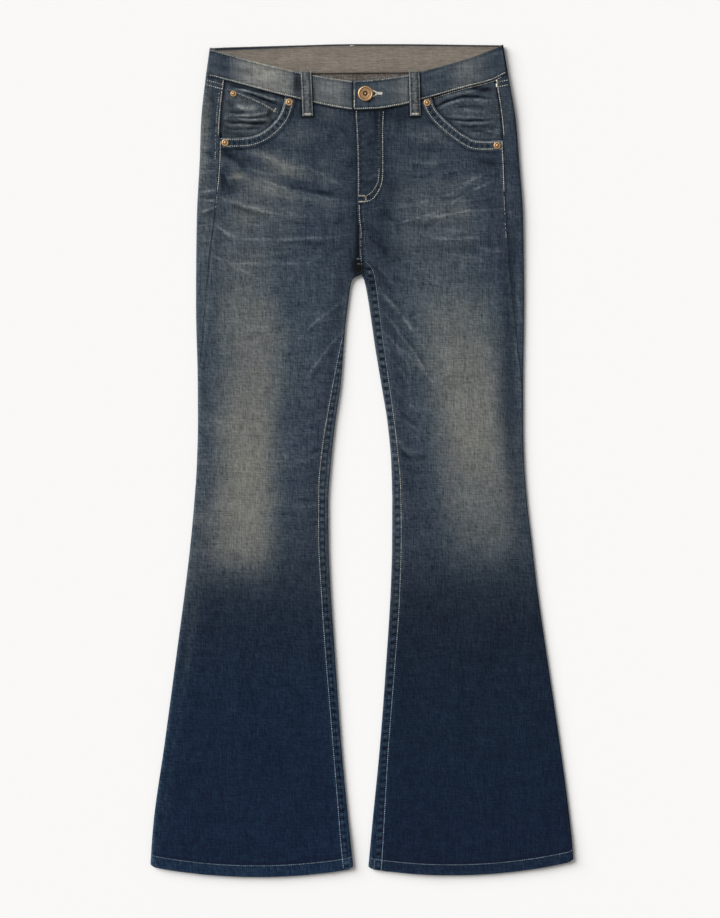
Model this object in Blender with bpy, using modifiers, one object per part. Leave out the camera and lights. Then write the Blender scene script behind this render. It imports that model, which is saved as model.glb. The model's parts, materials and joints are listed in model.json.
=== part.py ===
"""Flared jeans laid flat on their back, front up.

Frame: +X to the wearer's left, +Y from the hems to the waist, +Z up off the surface at z = 0, origin under
the middle of the outline. Sizes are in millimetres and become metres where a mesh is made.
"right" and "left" are the wearer's: the right leg lies at -X.
"""
import math

import bmesh
import bpy

MM = 0.001
RIGHT, LEFT = -1, 1
SIDE_NAMES = {RIGHT: "right", LEFT: "left"}

# Cloth
DENIM = 1.2  # wall of every denim panel
BAND = 1.8  # waistband: two layers sewn together
FACING = 1.0  # inner face of the waistband, and the coin pocket
SEAM_GAP = 0.3
UNDER_FACING = 1.6  # height of a pocket facing above the shell's underside, where it lies on the back
ON_FACING = 0.5  # clearance of the coin pocket over the curved facing

# Heights that fix the crotch, the tops of the panels and the hems
FORK_Y, ABOVE_FORK_Y = 250.3, 251.5  # where the legs part, and where their edges have joined
CROTCH_Y = 273.0  # where the four panels meet
PANEL_TOP_Y = 500.0
TOP_BLEND_Y = 285.0  # rows above this lean towards the sloping top seams
FORK_FADE, FORK_FOLD = 26.0, 0.2  # over this length the inner folds sharpen to this, and close the fork
HEM_TURN = 16.0

# Outline of both legs: x of the outer folds at each height
OUTER = (
    ("y", "right", "left"),
    (-563, -286.6, 287.6),
    (-491, -281.5, 281.0),
    (-383, -266.5, 267.0),
    (-275, -252.0, 251.0),
    (-167, -237.8, 235.5),
    (-113, -231.5, 229.3),
    (-59, -226.5, 223.0),
    (-5, -222.8, 218.9),
    (49, -221.4, 217.4),
    (103, -221.6, 217.4),
    (211, -224.0, 218.7),
    (324, -223.0, 217.5),
    (405, -219.0, 212.0),
    (454, -217.3, 208.0),
    (518, -210.6, 197.5),
    (562, -204.5, 190.0),
)
# x of the inner folds, from the hems up to the fork
INNER = (
    ("y", "right", "left"),
    (-563, -10.0, 7.0),
    (-491, -17.8, 13.8),
    (-383, -28.0, 24.3),
    (-275, -35.6, 32.4),
    (-167, -42.8, 39.0),
    (-113, -45.0, 40.5),
    (-59, -45.4, 40.7),
    (-5, -42.0, 39.4),
    (49, -36.3, 34.6),
    (103, -28.6, 25.9),
    (157, -24.4, 17.0),
    (184, -22.2, 13.2),
    (211, -18.8, 9.2),
    (238, -15.0, 4.2),
    (245, -12.0, 2.2),
    (250.3, -1.9, -0.9),
)
# Centre seams: x of the fly edge and front rise, and of the back rise
CENTRE = (
    ("y", "front", "back"),
    (250, -1.4, -1.4),
    (280, -4.0, -2.0),
    (310, -4.0, -2.8),
    (335, -6.5, -3.4),
    (381, -6.3, -4.4),
    (435, -7.5, -5.6),
    (475, -9.5, -6.4),
    (562, -9.5, -7.0),
)
# How far each seam lies in from its fold, on the front
SEAMS = (
    ("y", "side_right", "side_left", "inseam_right", "inseam_left"),
    (-563, 0, 0, 6, 6),
    (49, 0, 0, 5, 5),
    (103, 0, 2, 4, 5),
    (152, 6, 8, 1, 5),
    (208, 12, 15, 0, 6),
    (238, 14.5, 18, 0, 7.5),
    (250.3, 15.5, 19, 0, 9.5),
    (262, 16.5, 20, 0, 6.5),
    (273, 17, 20.5, 0, 1.1),
    (275, 17.2, 20.7, 0, 0),
    (340, 24, 23, 0, 0),
    (405, 26, 20.5, 0, 0),
    (457, 26, 19.5, 0, 0),
    (562, 26.5, 18, 0, 0),
)
# Underside of the shell, and the room between back and front: the turned hems, the empty legs, the pockets
LEVELS = (
    ("y", "underside", "room"),
    (-563, 0, 3.8),
    (-520, 0, 3.8),
    (-478, 0, 2.2),
    (-420, 0, 2.0),
    (200, 0, 2.0),
    (330, 0, 3.3),
    (430, 0, 3.3),
    (488, 1.5, 3.2),
    (562, 1.5, 2.6),
)
# Edges of the waistband against x
BAND_EDGES = (
    ("x", "front_low", "front_high", "back_low", "back_high"),
    (-211, 517.6, 556.0, 517.6, 556.0),
    (-203, 517.0, 553.6, 517.8, 556.2),
    (-185, 512.6, 548.5, 518.6, 557.0),
    (-147, 502.8, 537.8, 519.8, 558.2),
    (-82, 486.0, 522.6, 520.8, 560.0),
    (-30, 474.9, 513.3, 521.4, 561.4),
    (-8, 472.2, 511.0, 521.6, 561.6),
    (20, 473.2, 513.2, 521.8, 561.6),
    (51, 478.3, 517.3, 522.0, 561.6),
    (80, 485.8, 523.5, 522.2, 561.4),
    (140, 502.8, 540.5, 522.6, 560.6),
    (174, 511.6, 552.6, 522.8, 560.2),
    (190, 519.4, 558.4, 523.0, 560.0),
    (198, 523.0, 560.0, 523.0, 560.0),
)
BAND_TOP_Z = 7.1  # upper face of the front waistband
BAND_MIDDLE_Y, WAIST_Y = 540.0, 560.0
BAND_FRONT_STEPS, BAND_BACK_STEPS, BAND_FOLD_STEPS = 10, 14, 6
BAND_FACING_ENDS, BAND_FACING_EDGES = 0.012, (0.5, -1.0)  # the inner face stops this short of the band
LAP_RISE = 2.1  # the left end lies this much higher, on the right end
LAP_LEFT_X = -12.0  # where the left end stops
LAP_RIGHT_X = 22.0  # where the right end stops, under it
LAP_STEPS = 4
LAP_FLAT_X, LAP_FOOT_X = 34.0, 52.0  # the left end is fully raised up to here, and down again here

# Fly: the left front is raised over the fly facing and zip
FLY_WIDTH, FLY_FOOT, FLY_BOTTOM_Y, FLY_RISE = 36.0, 12.0, 345.0, 0.8

# Yoke seam: on the strip that wraps onto the front, at the fold, and at the centre back
YOKE_SIDE_Y = {RIGHT: 498.0, LEFT: 501.0}
YOKE_FOLD_Y, YOKE_CENTRE_Y = 505.0, 452.0
YOKE_STEPS = 3

# Hem line at the inner fold, mid-leg and outer fold
HEM_LINE = {RIGHT: (-550.3, -561.6, -547.6), LEFT: (-550.3, -558.8, -540.4)}

# Edge of each curved pocket mouth, from the waistband to the side seam
MOUTH = {
    RIGHT: ((-103, 494), (-106, 479), (-112, 464), (-125, 449.5), (-140, 439.8), (-158, 435.2), (-194, 434.5)),
    LEFT: ((93, 496), (95.5, 483), (101, 471.5), (112, 459.5), (128, 445.8), (142, 436.4), (157, 430.8), (196, 431.5)),
}
CORNER_X, CUT_Z = 240.0, (-5.0, 20.0)  # what the mouth cuts away reaches past the panel
MOUTH_TUCK = 6.0  # the facing carries on this far under the front
SINK_START, SINK_END = 4.0, 30.0  # the facing rises from the back to the front's level between these distances
FACING_STEPS, AROUND = 7, 0.03  # AROUND: the mouth's direction is taken over this share of its length each way
SEAM_HOLD = 16.0  # and the side seam holds it up over this width
SEAM_FOOT = (2.5, 10.0)  # but not between the mouth's edge and these distances
COIN_EDGE = ((-112.0, 469.0), (-133.7, 481.4), (-170.0, 497.0), (-181.5, 500.0))  # top edge of the coin pocket
COIN_COLUMNS, COIN_STEPS, COIN_START = 10, 7, 0.05
COIN_TUCK, COIN_INSET = 2.0, 3.0  # it runs this far under the front, and stops this short of the side seam

# Soft swells of the laid front: middle, half length, half width, direction from +X, height
SWELLS = (
    ("x", "y", "half_length", "half_width", "degrees", "height"),
    (-120, 335, 70, 16, -8, 0.9),
    (-130, 292, 75, 14, 4, 0.8),
    (110, 340, 70, 16, 12, 0.9),
    (112, 300, 65, 14, 22, 0.7),
    (50, 190, 70, 13, -50, 1.0),
    (62, 140, 60, 12, -58, 0.8),
    (-60, 185, 70, 13, 48, 0.9),
    (-85, 120, 60, 13, 55, 0.7),
    (75, 30, 45, 13, -15, 0.8),
    (-85, 0, 45, 13, 20, 0.7),
    (-155, -330, 90, 22, 82, 0.7),
    (160, -350, 90, 22, 98, 0.7),
)
SWELL_MARGIN = 22.0  # swells die out this near a fold
SWELL_TOP_Y = (380.0, 430.0)  # and below the pockets

# Belt loops
LOOP_WIDTH, LOOP_LENGTH, LOOP_CLOTH, LOOP_STEPS = 14.0, 61.0, 1.2, 12
LOOP_ARCH, LOOP_ARCHED, LOOP_CLIMB = 1.3, (0.12, 0.95), (9.0, 1.0)  # height, share of length, below the band
LOOPS = (
    ("name", "face", "x", "lower_x", "high_y"),
    ("belt_loop_front_right", "front", -75.6, -72.8, 524.6),
    ("belt_loop_front_left", "front", 70.2, 72.0, 524.9),
    ("belt_loop_back_right", "back", -118, -118, 557.0),
    ("belt_loop_back_centre", "back", -7, -7, 560.0),
    ("belt_loop_back_left", "back", 104, 104, 559.0),
)

# Metal: radius and height down each turned profile, from its outer edge at the cloth up and in to the axis
BUTTON_XY = (4.7, 493.4)
BUTTON_PROFILE = (
    (0.0, 3.4), (1.4, 3.3), (2.3, 2.1), (3.6, 2.0), (6.6, 2.5), (7.4, 3.3), (8.8, 3.5), (9.9, 2.8),
    (10.3, 1.7), (9.8, 0.7), (8.6, 0.0), (2.4, 0.0), (2.4, -2.0), (0.0, -2.0),
)
RIVET_REACH = (-5.0, 0.0, 5.0)  # a rivet rests on the highest point this far round it
RIVET_PROFILE = ((0.0, 1.9), (0.9, 1.8), (1.7, 1.1), (3.0, 1.3), (4.2, 1.0), (4.8, 0.3), (4.6, 0.0), (0.0, 0.0))
RIVETS = (
    ("name", "x", "y", "scale"),
    ("rivet_pocket_right_upper", -98.0, 482.4, 1.0),
    ("rivet_pocket_right_lower", -184.4, 428.0, 0.98),
    ("rivet_coin", -172.8, 493.6, 0.86),
    ("rivet_pocket_left_upper", 87.8, 481.6, 0.98),
    ("rivet_pocket_left_lower", 182.2, 424.2, 1.0),
)
BUTTONHOLE_EYE, BUTTONHOLE_SLIT, BUTTONHOLE_END_X = 6.4, 1.6, 28.5
BUTTONHOLE_ARC, BUTTONHOLE_STEPS = (20.0, 340.0), 14
BUTTONHOLE_FLOOR = 0.15  # it is cut down to this far above the lap's lower layer

# Rows and columns of the panels
PANEL_ROWS = (
    -549, -521, -478, -420, -360, -300, -240, -180, -120, -60, 0, 52, 104, 150, 190, 220, 238, 246, FORK_Y,
    ABOVE_FORK_Y, 262, CROTCH_Y, 275, 302, 340, 382, 424, 464, PANEL_TOP_Y,
)
SEAM_STEPS, FRONT_STEPS, FOLD_STEPS, BACK_STEPS = 2, 7, 4, 7
SEAM_LEDGE = 2.0  # width of the narrow columns beside a seam on the flat

DENIM_BLUE = (0.045, 0.07, 0.11)
TAUPE = (0.2, 0.17, 0.14)
COPPER = (0.45, 0.27, 0.14)


# ---------------------------------------------------------------------------------------------- functions

def smooth(table, name, at):
    """Value of a table's named column between its rows, on a curve that never overshoots them."""
    column, rows = table[0].index(name), table[1:]
    if at <= rows[0][0]:
        return rows[0][column]
    if at >= rows[-1][0]:
        return rows[-1][column]
    k = next(i for i in range(len(rows) - 1) if at <= rows[i + 1][0])

    def slope(i):
        return (rows[i + 1][column] - rows[i][column]) / (rows[i + 1][0] - rows[i][0])

    def tangent(i):
        if i == 0 or i == len(rows) - 1:
            return slope(min(i, len(rows) - 2))
        before, after = slope(i - 1), slope(i)
        if before * after <= 0:
            return 0.0
        return 2 * before * after / (before + after)

    step = rows[k + 1][0] - rows[k][0]
    t = (at - rows[k][0]) / step
    low, high = rows[k][column], rows[k + 1][column]
    return (
        low * (1 + 2 * t) * (1 - t) ** 2
        + step * tangent(k) * t * (1 - t) ** 2
        + high * t * t * (3 - 2 * t)
        + step * tangent(k + 1) * t * t * (t - 1)
    )


def lerp(a, b, t):
    return a + (b - a) * t


def ramp(low, high, value):
    """0 below low, 1 above high, with soft ends."""
    t = min(1.0, max(0.0, (value - low) / (high - low)))
    return t * t * (3 - 2 * t)


def outer_x(side, y):
    return smooth(OUTER, SIDE_NAMES[side], y)


def inner_x(side, y):
    return smooth(INNER, SIDE_NAMES[side], y)


def centre_x(face, y):
    return smooth(CENTRE, face, y)


def seam_inset(kind, side, y):
    return smooth(SEAMS, kind + "_" + SIDE_NAMES[side], y)


def band_y(edge, x):
    return smooth(BAND_EDGES, edge, x)


def levels(y):
    """Heights of the shell's underside and of its upper face."""
    underside = smooth(LEVELS, "underside", y)
    return underside, underside + 2 * DENIM + smooth(LEVELS, "room", y)


def hem_y(side, x):
    """The hem line is an arc, lowest mid-leg."""
    at_inner, at_middle, at_outer = HEM_LINE[side]
    inner, outer = inner_x(side, at_inner), outer_x(side, at_outer)
    t = min(1.0, max(0.0, (x - inner) / (outer - inner)))
    bow = at_middle - (at_inner + at_outer) / 2
    return lerp(at_inner, at_outer, t) + bow * 4 * t * (1 - t)


def relief(x, y):
    """Height that the soft swells and the fly add to the upper face."""
    side = RIGHT if x < centre_x("front", y) else LEFT
    to_fold = abs(outer_x(side, y) - x)
    if y < FORK_Y:
        to_fold = min(to_fold, abs(x - inner_x(side, y)))
    total = 0.0
    for cx, cy, half_length, half_width, degrees, height in SWELLS[1:]:
        turn = math.radians(degrees)
        along = (x - cx) * math.cos(turn) + (y - cy) * math.sin(turn)
        across = (y - cy) * math.cos(turn) - (x - cx) * math.sin(turn)
        total += height * math.exp(-((along / half_length) ** 2) - (across / half_width) ** 2)
    total *= ramp(0, SWELL_MARGIN, to_fold) * (1 - ramp(*SWELL_TOP_Y, y))
    edge = centre_x("front", y)
    if x >= edge:
        in_fly = 1 - ramp(FLY_WIDTH, FLY_WIDTH + FLY_FOOT, x - edge)
        total += FLY_RISE * in_fly * ramp(FLY_BOTTOM_Y - FLY_FOOT, FLY_BOTTOM_Y + FLY_FOOT, y)
    return total


def top_point(x, y, depth):
    return (x, y, levels(y)[1] - depth + relief(x, y))


def bottom_point(x, y, depth):
    return (x, y, levels(y)[0] + depth)


def edge_shape(edge, side, y):
    """Of an outer or inner fold, or the front's centre seam: its x, the way it faces and how wide it turns."""
    low, high = levels(y)
    radius = (high - low) / 2
    if edge == "outer":
        return outer_x(side, y), side, radius
    if edge == "inner":
        return inner_x(side, y), -side, max(FORK_FOLD, radius * ramp(0, FORK_FADE, FORK_Y - y))
    return centre_x("front", y), -side, 0.0


def fold_point(edge, side, y, angle, depth):
    """A point on a folded edge: angle -90 is its underside, 0 its rim and 90 its upper side."""
    low, high = levels(y)
    radius = (high - low) / 2
    edge_x, outward, width = edge_shape(edge, side, y)
    turn = math.radians(angle)
    x = edge_x - outward * width + outward * (width - depth) * math.cos(turn)
    return (x, y, low + radius + (radius - depth) * math.sin(turn))


def seam_angle(inset, width, y, clear):
    """Angle round a fold of a seam this far in from its rim, moved on by a clearance."""
    low, high = levels(y)
    at_seam = math.acos(1 - min(inset, width) / width)
    return math.degrees(at_seam + clear / ((high - low - DENIM) / 2))


def wrap(edge, side, y, inset, depth):
    """Points from the underside of a fold, round it and onto the upper face as far as a seam."""
    edge_x, outward, width = edge_shape(edge, side, y)
    if inset > width:
        points = [fold_point(edge, side, y, lerp(-90, 90, k / FOLD_STEPS), depth) for k in range(FOLD_STEPS + 1)]
        stop = edge_x - outward * max(inset - SEAM_GAP / 2, width + SEAM_GAP)
        return points + [top_point(stop, y, depth)]
    stop = seam_angle(inset, width, y, -SEAM_GAP / 2)
    steps = FOLD_STEPS + 1
    return [fold_point(edge, side, y, lerp(-90, stop, k / steps), depth) for k in range(steps + 1)]


def ledge(edge, side, y, inset, depth):
    """Points of a front panel beside a seam, from the seam inwards, and the x where its flat begins."""
    edge_x, outward, width = edge_shape(edge, side, y)
    if inset < width:
        start = seam_angle(inset, width, y, SEAM_GAP / 2)
        angles = [lerp(start, 90, k / SEAM_STEPS) for k in range(SEAM_STEPS)]
        return [fold_point(edge, side, y, a, depth) for a in angles], edge_x - outward * width
    insets = [inset + SEAM_GAP / 2 + SEAM_LEDGE * k / SEAM_STEPS for k in range(SEAM_STEPS)]
    flat = edge_x - outward * (inset + SEAM_GAP / 2 + SEAM_LEDGE)
    return [top_point(edge_x - outward * i, y, depth) for i in insets], flat


def front_section(side, y, depth):
    """A front panel's points across, from its inseam or centre seam to its side seam."""
    edge = "inner" if y < FORK_Y + SEAM_GAP else "centre"
    first, start = ledge(edge, side, y, seam_inset("inseam", side, y), depth)
    last, stop = ledge("outer", side, y, seam_inset("side", side, y), depth)
    flat = [top_point(lerp(start, stop, k / FRONT_STEPS), y, depth) for k in range(FRONT_STEPS + 1)]
    return first + flat + last[::-1]


def back_section(side, y, depth):
    """A back panel's points round, from the side seam, under the leg, to the inseam or centre back."""
    outer = wrap("outer", side, y, seam_inset("side", side, y), depth)
    start = outer[0][0]
    if y < FORK_Y + SEAM_GAP:
        inner = wrap("inner", side, y, seam_inset("inseam", side, y), depth)
        stop = inner[0][0]
    else:
        stop = centre_x("back", y) + side * SEAM_GAP / 2
        edge = centre_x("front", y)
        reach = max(seam_inset("inseam", side, y) - SEAM_GAP / 2, 3 * SEAM_GAP)
        strip = [top_point(edge + side * lerp(SEAM_GAP / 2, reach, k), y, depth) for k in (0, 1)]
        inner = [(stop, y, levels(y)[0] + depth)] * FOLD_STEPS + strip
    flat = [bottom_point(lerp(start, stop, k / BACK_STEPS), y, depth) for k in range(1, BACK_STEPS)]
    return outer[::-1] + flat + inner


def yoke_y(side, x, on_front):
    """Height of the yoke seam: slightly falling on the wrapped strip, and a wide V on the back."""
    fold = outer_x(side, YOKE_FOLD_Y)
    if on_front:
        inset = seam_inset("side", side, YOKE_FOLD_Y)
        return lerp(YOKE_FOLD_Y, YOKE_SIDE_Y[side], min(1.0, abs(fold - x) / inset))
    centre = centre_x("back", YOKE_CENTRE_Y)
    return lerp(YOKE_FOLD_Y, YOKE_CENTRE_Y, min(1.0, abs(fold - x) / abs(fold - centre)))


def panel_y(side, row_y, x, top_y):
    """A row's height at x: the bottom row follows the hem, and upper rows lean towards the top seam."""
    if row_y == PANEL_ROWS[0]:
        return hem_y(side, x)
    return row_y + (top_y - PANEL_TOP_Y) * ramp(TOP_BLEND_Y, PANEL_TOP_Y, row_y)


# ------------------------------------------------------------------------------------------ mesh makers

def material(name, color, roughness, metallic=0.0):
    made = bpy.data.materials.new(name)
    made.use_nodes = True
    shader = made.node_tree.nodes["Principled BSDF"]
    shader.inputs["Base Color"].default_value = (*color, 1)
    shader.inputs["Roughness"].default_value = roughness
    shader.inputs["Metallic"].default_value = metallic
    made.diffuse_color = (*color, 1)
    return made


def add_object(name, mesh, collection, look):
    part = bpy.data.objects.new(name, mesh)
    mesh.materials.append(look)
    collection.objects.link(part)
    return part


def shell(name, outer, inner, collection, look, cells=None, closed=False):
    """A closed wall between two grids of points. Cells says which squares exist; closed joins its ends."""
    columns = len(outer[0])
    across = columns if closed else columns - 1
    if cells is None:
        cells = [(i, j) for i in range(len(outer) - 1) for j in range(across)]
    mesh = bmesh.new()
    made = {}

    def vertex(layer, i, j):
        key = (layer, i, j % columns)
        if key not in made:
            point = (outer, inner)[layer][i][j % columns]
            made[key] = mesh.verts.new([c * MM for c in point])
        return made[key]

    edges = set()
    for i, j in cells:
        ring = [(i, j), (i, j + 1), (i + 1, j + 1), (i + 1, j)]
        mesh.faces.new([vertex(0, *c) for c in ring])
        mesh.faces.new([vertex(1, *c) for c in reversed(ring)])
        corners = [(a, b % columns) for a, b in ring]
        edges.update(zip(corners, corners[1:] + corners[:1]))
    for a, b in sorted(edges):
        if (b, a) not in edges:
            mesh.faces.new([vertex(0, *b), vertex(0, *a), vertex(1, *a), vertex(1, *b)])
    bmesh.ops.recalc_face_normals(mesh, faces=mesh.faces)
    data = bpy.data.meshes.new(name)
    mesh.to_mesh(data)
    mesh.free()
    data.shade_smooth()
    data.set_sharp_from_angle(angle=math.radians(50))
    return add_object(name, data, collection, look)


def prism(name, outline, low, high, collection, look):
    """A flat outline with a height, used to cut."""
    mesh = bmesh.new()
    ring = [mesh.verts.new((x * MM, y * MM, low * MM)) for x, y in outline]
    base = mesh.faces.new(ring)
    raised = bmesh.ops.extrude_face_region(mesh, geom=[base])["geom"]
    moved = [v for v in raised if isinstance(v, bmesh.types.BMVert)]
    bmesh.ops.translate(mesh, verts=moved, vec=(0, 0, (high - low) * MM))
    bmesh.ops.recalc_face_normals(mesh, faces=mesh.faces)
    data = bpy.data.meshes.new(name)
    mesh.to_mesh(data)
    mesh.free()
    cutter = add_object(name, data, collection, look)
    cutter.hide_render = True
    cutter.display_type = "WIRE"
    return cutter


def cut(part, cutter):
    boolean = part.modifiers.new(cutter.name, "BOOLEAN")
    boolean.operation = "DIFFERENCE"
    boolean.solver = "EXACT"
    boolean.object = cutter


def turned(name, profile, place, scale, collection, look):
    """A metal piece turned about its own axis."""
    data = bpy.data.meshes.new(name)
    points = [(r * scale * MM, 0, z * scale * MM) for r, z in profile]
    data.from_pydata(points, [(k, k + 1) for k in range(len(points) - 1)], [])
    part = add_object(name, data, collection, look)
    part.location = [c * MM for c in place]
    screw = part.modifiers.new("turn", "SCREW")
    screw.steps = screw.render_steps = 24
    screw.use_merge_vertices = True
    screw.merge_threshold = 0.00001
    screw.use_smooth_shade = True
    return part


def spline(points, steps):
    """A smooth line through points, with the given number of steps between each two."""
    line = []
    last = len(points) - 1
    for k in range(last):
        before, a, b, after = (points[max(0, min(last, k + o))] for o in (-1, 0, 1, 2))
        for s in range(steps):
            t = s / steps
            line.append(tuple(
                0.5 * (2 * a[c] + (b[c] - before[c]) * t
                       + (2 * before[c] - 5 * a[c] + 4 * b[c] - after[c]) * t * t
                       + (3 * a[c] - before[c] - 3 * b[c] + after[c]) * t ** 3)
                for c in (0, 1)
            ))
    return line + [points[-1]]


def along(line, fraction):
    """The point at a fraction of a line's length."""
    lengths = [math.dist(a, b) for a, b in zip(line, line[1:])]
    left = fraction * sum(lengths)
    for (a, b), length in zip(zip(line, line[1:]), lengths):
        if left <= length:
            return (lerp(a[0], b[0], left / length), lerp(a[1], b[1], left / length))
        left -= length
    return line[-1]


def into_pocket(side, x, y):
    """How far a point lies inside the pocket mouth, 0 where the front covers it."""
    best, inside = math.inf, False
    mouth = spline(MOUTH[side], 4)
    for a, b in zip(mouth, mouth[1:]):
        ab = (b[0] - a[0], b[1] - a[1])
        ap = (x - a[0], y - a[1])
        t = (ap[0] * ab[0] + ap[1] * ab[1]) / (ab[0] ** 2 + ab[1] ** 2)
        t = min(1.0, max(0.0, t))
        gap = math.dist((x, y), (a[0] + ab[0] * t, a[1] + ab[1] * t))
        if gap < best:
            best, inside = gap, side * (ap[0] * ab[1] - ap[1] * ab[0]) < 0
    return best if inside else 0.0


# --------------------------------------------------------------------------------------------- the pieces

def front_panel(side, name, collection, cutters, look):
    """Front: hem to waistband, its top outer corner cut away along the pocket mouth."""
    def grid(depth):
        rows = []
        for row_y in PANEL_ROWS:
            row = []
            for j, (x, _, _) in enumerate(front_section(side, row_y, 0)):
                y = panel_y(side, row_y, x, band_y("front_low", x) - SEAM_GAP)
                row.append(front_section(side, y, depth)[j])
            rows.append(row)
        return rows

    panel = shell(name, grid(0), grid(DENIM), collection, look)
    mouth = spline(MOUTH[side], 4)
    corner = [(side * CORNER_X, mouth[-1][1]), (side * CORNER_X, BAND_MIDDLE_Y), (mouth[0][0], BAND_MIDDLE_Y)]
    cut(panel, prism(name + "_mouth", mouth + corner, *CUT_Z, cutters, look))
    return panel


def back_panel(side, name, collection, look):
    """Back: wraps forward over both folds, and its tip comes through the fork to meet the front seams."""
    fold_columns = range(FOLD_STEPS + BACK_STEPS + 1, 2 * FOLD_STEPS + BACK_STEPS + 1)
    strip_column = 2 * FOLD_STEPS + BACK_STEPS + 1

    def grid(depth):
        rows = []
        for row_y in PANEL_ROWS:
            row = []
            for j, (x, _, _) in enumerate(back_section(side, row_y, 0)):
                on_front = j <= 1 + FOLD_STEPS // 2
                y = panel_y(side, row_y, x, yoke_y(side, x, on_front) - SEAM_GAP / 2)
                row.append(back_section(side, y, depth)[j])
            rows.append(row)
        return rows

    outer = grid(0)
    cells = []
    for i, row_y in enumerate(PANEL_ROWS[:-1]):
        for j in range(len(outer[0]) - 1):
            if j in fold_columns and row_y >= FORK_Y:
                continue
            if j == strip_column and row_y >= (CROTCH_Y if side == LEFT else FORK_Y):
                continue
            cells.append((i, j))
    return shell(name, outer, grid(DENIM), collection, look, cells)


def back_yoke(side, name, collection, look):
    """Yoke: between the back panel and the waistband, from the side seam round the fold to centre back."""
    last = FOLD_STEPS + 1 + BACK_STEPS

    def grid(depth):
        rows = []
        for i in range(YOKE_STEPS + 1):
            row = []
            for j in range(last + 1):
                y = PANEL_TOP_Y
                for _ in range(3):
                    x = back_section(side, y, 0)[j][0]
                    on_front = j <= 1 + FOLD_STEPS // 2
                    low = yoke_y(side, x, on_front) + SEAM_GAP / 2
                    seam = "front_low" if j <= FOLD_STEPS // 2 else "back_low"
                    y = lerp(low, band_y(seam, x) - SEAM_GAP, i / YOKE_STEPS)
                row.append(back_section(side, y, depth)[j])
            rows.append(row)
        return rows

    return shell(name, grid(0), grid(DENIM), collection, look)


def hem_turn(side, name, collection, look):
    """Hem: the turned-up layer that lines the leg opening."""
    def grid(extra):
        depth = DENIM + SEAM_GAP + extra
        rows = []
        for lift in (0, HEM_TURN / 2, HEM_TURN):
            folds = []
            for edge in ("outer", "inner"):
                y = hem_y(side, edge_shape(edge, side, PANEL_ROWS[0])[0]) + lift
                angles = [lerp(-90, 90, k / FOLD_STEPS) for k in range(FOLD_STEPS + 1)]
                folds.append([fold_point(edge, side, y, angle, depth) for angle in angles])
            outer_fold, inner_fold = folds
            ring = list(outer_fold)
            for face, a, b in (("top", outer_fold[-1], inner_fold[-1]), ("bottom", inner_fold[0], outer_fold[0])):
                if face == "bottom":
                    ring += inner_fold[::-1]
                for k in range(1, BACK_STEPS):
                    x = lerp(a[0], b[0], k / BACK_STEPS)
                    y = hem_y(side, x) + lift
                    low, high = levels(y)
                    ring.append((x, y, high - depth if face == "top" else low + depth))
            rows.append(ring)
        return rows

    return shell(name, grid(0), grid(DENIM), collection, look, closed=True)


def band_point(face, share, edge, depth):
    """A point of the waistband: share runs from the right fold to the left one, edge is low or high."""
    base, _ = levels(WAIST_Y)
    radius = (BAND_TOP_Z - base) / 2
    x, y = 0.0, BAND_MIDDLE_Y
    for _ in range(4):
        x = lerp(outer_x(RIGHT, y) + radius, outer_x(LEFT, y) - radius, share)
        y = band_y(f"{face}_{edge}", x)
    if face == "back":
        return (x, y, base + depth)
    return (x, y, BAND_TOP_Z - depth)


def band_fold(side, edge, angle, depth):
    base, _ = levels(WAIST_Y)
    radius = (BAND_TOP_Z - base) / 2
    turn = math.radians(angle)
    y = BAND_MIDDLE_Y
    for _ in range(4):
        x = outer_x(side, y)
        y = band_y(f"back_{edge}", x)
    return (
        x - side * radius + side * (radius - depth) * math.cos(turn),
        y,
        base + radius + (radius - depth) * math.sin(turn),
    )


def share_of(x):
    return (x - band_point("front", 0, "low", 0)[0]) / (
        band_point("front", 1, "low", 0)[0] - band_point("front", 0, "low", 0)[0]
    )


def waistband(name, collection, cutters, look):
    """One band: from its right end under the lap, round the back, to its left end on top of the lap."""
    front_steps, back_steps, fold_steps = BAND_FRONT_STEPS, BAND_BACK_STEPS, BAND_FOLD_STEPS
    right_end, left_end = share_of(LAP_RIGHT_X), share_of(LAP_LEFT_X)
    lap_flat, lap_foot = share_of(LAP_FLAT_X), share_of(LAP_FOOT_X)
    lap = [lerp(left_end, lap_flat, k / LAP_STEPS) for k in range(LAP_STEPS)]
    lap += [lerp(lap_flat, lap_foot, k / LAP_STEPS) for k in range(LAP_STEPS + 1)]

    def grid(depth):
        rows = []
        for k in range(front_steps + 1):
            share = lerp(right_end, 0, k / front_steps)
            rows.append([band_point("front", share, edge, depth) for edge in ("low", "high")])
        for k in range(1, fold_steps):
            angle = lerp(90, -90, k / fold_steps)
            rows.append([band_fold(RIGHT, edge, angle, depth) for edge in ("low", "high")])
        for k in range(back_steps + 1):
            rows.append([band_point("back", k / back_steps, edge, depth) for edge in ("low", "high")])
        for k in range(1, fold_steps):
            angle = lerp(-90, 90, k / fold_steps)
            rows.append([band_fold(LEFT, edge, angle, depth) for edge in ("low", "high")])
        shares = [lerp(1, lap_foot, k / (front_steps - 2)) for k in range(front_steps - 2)] + lap[::-1]
        for share in shares:
            rise = LAP_RISE * (1 - ramp(lap_flat, lap_foot, share))
            row = [band_point("front", share, edge, depth) for edge in ("low", "high")]
            rows.append([(x, y, z + rise) for x, y, z in row])
        return rows

    band = shell(name, grid(0), grid(BAND), collection, look)
    eye = [
        (BUTTON_XY[0] + BUTTONHOLE_EYE / 2 * math.cos(a), BUTTON_XY[1] + BUTTONHOLE_EYE / 2 * math.sin(a))
        for a in (math.radians(lerp(*BUTTONHOLE_ARC, k / BUTTONHOLE_STEPS)) for k in range(BUTTONHOLE_STEPS + 1))
    ]
    half = BUTTONHOLE_SLIT / 2
    slit = [(BUTTONHOLE_END_X, BUTTON_XY[1] - half), (BUTTONHOLE_END_X, BUTTON_XY[1] + half)]
    cut(band, prism("buttonhole", eye + slit, BAND_TOP_Z + BUTTONHOLE_FLOOR, CUT_Z[1], cutters, look))
    return band


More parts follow.
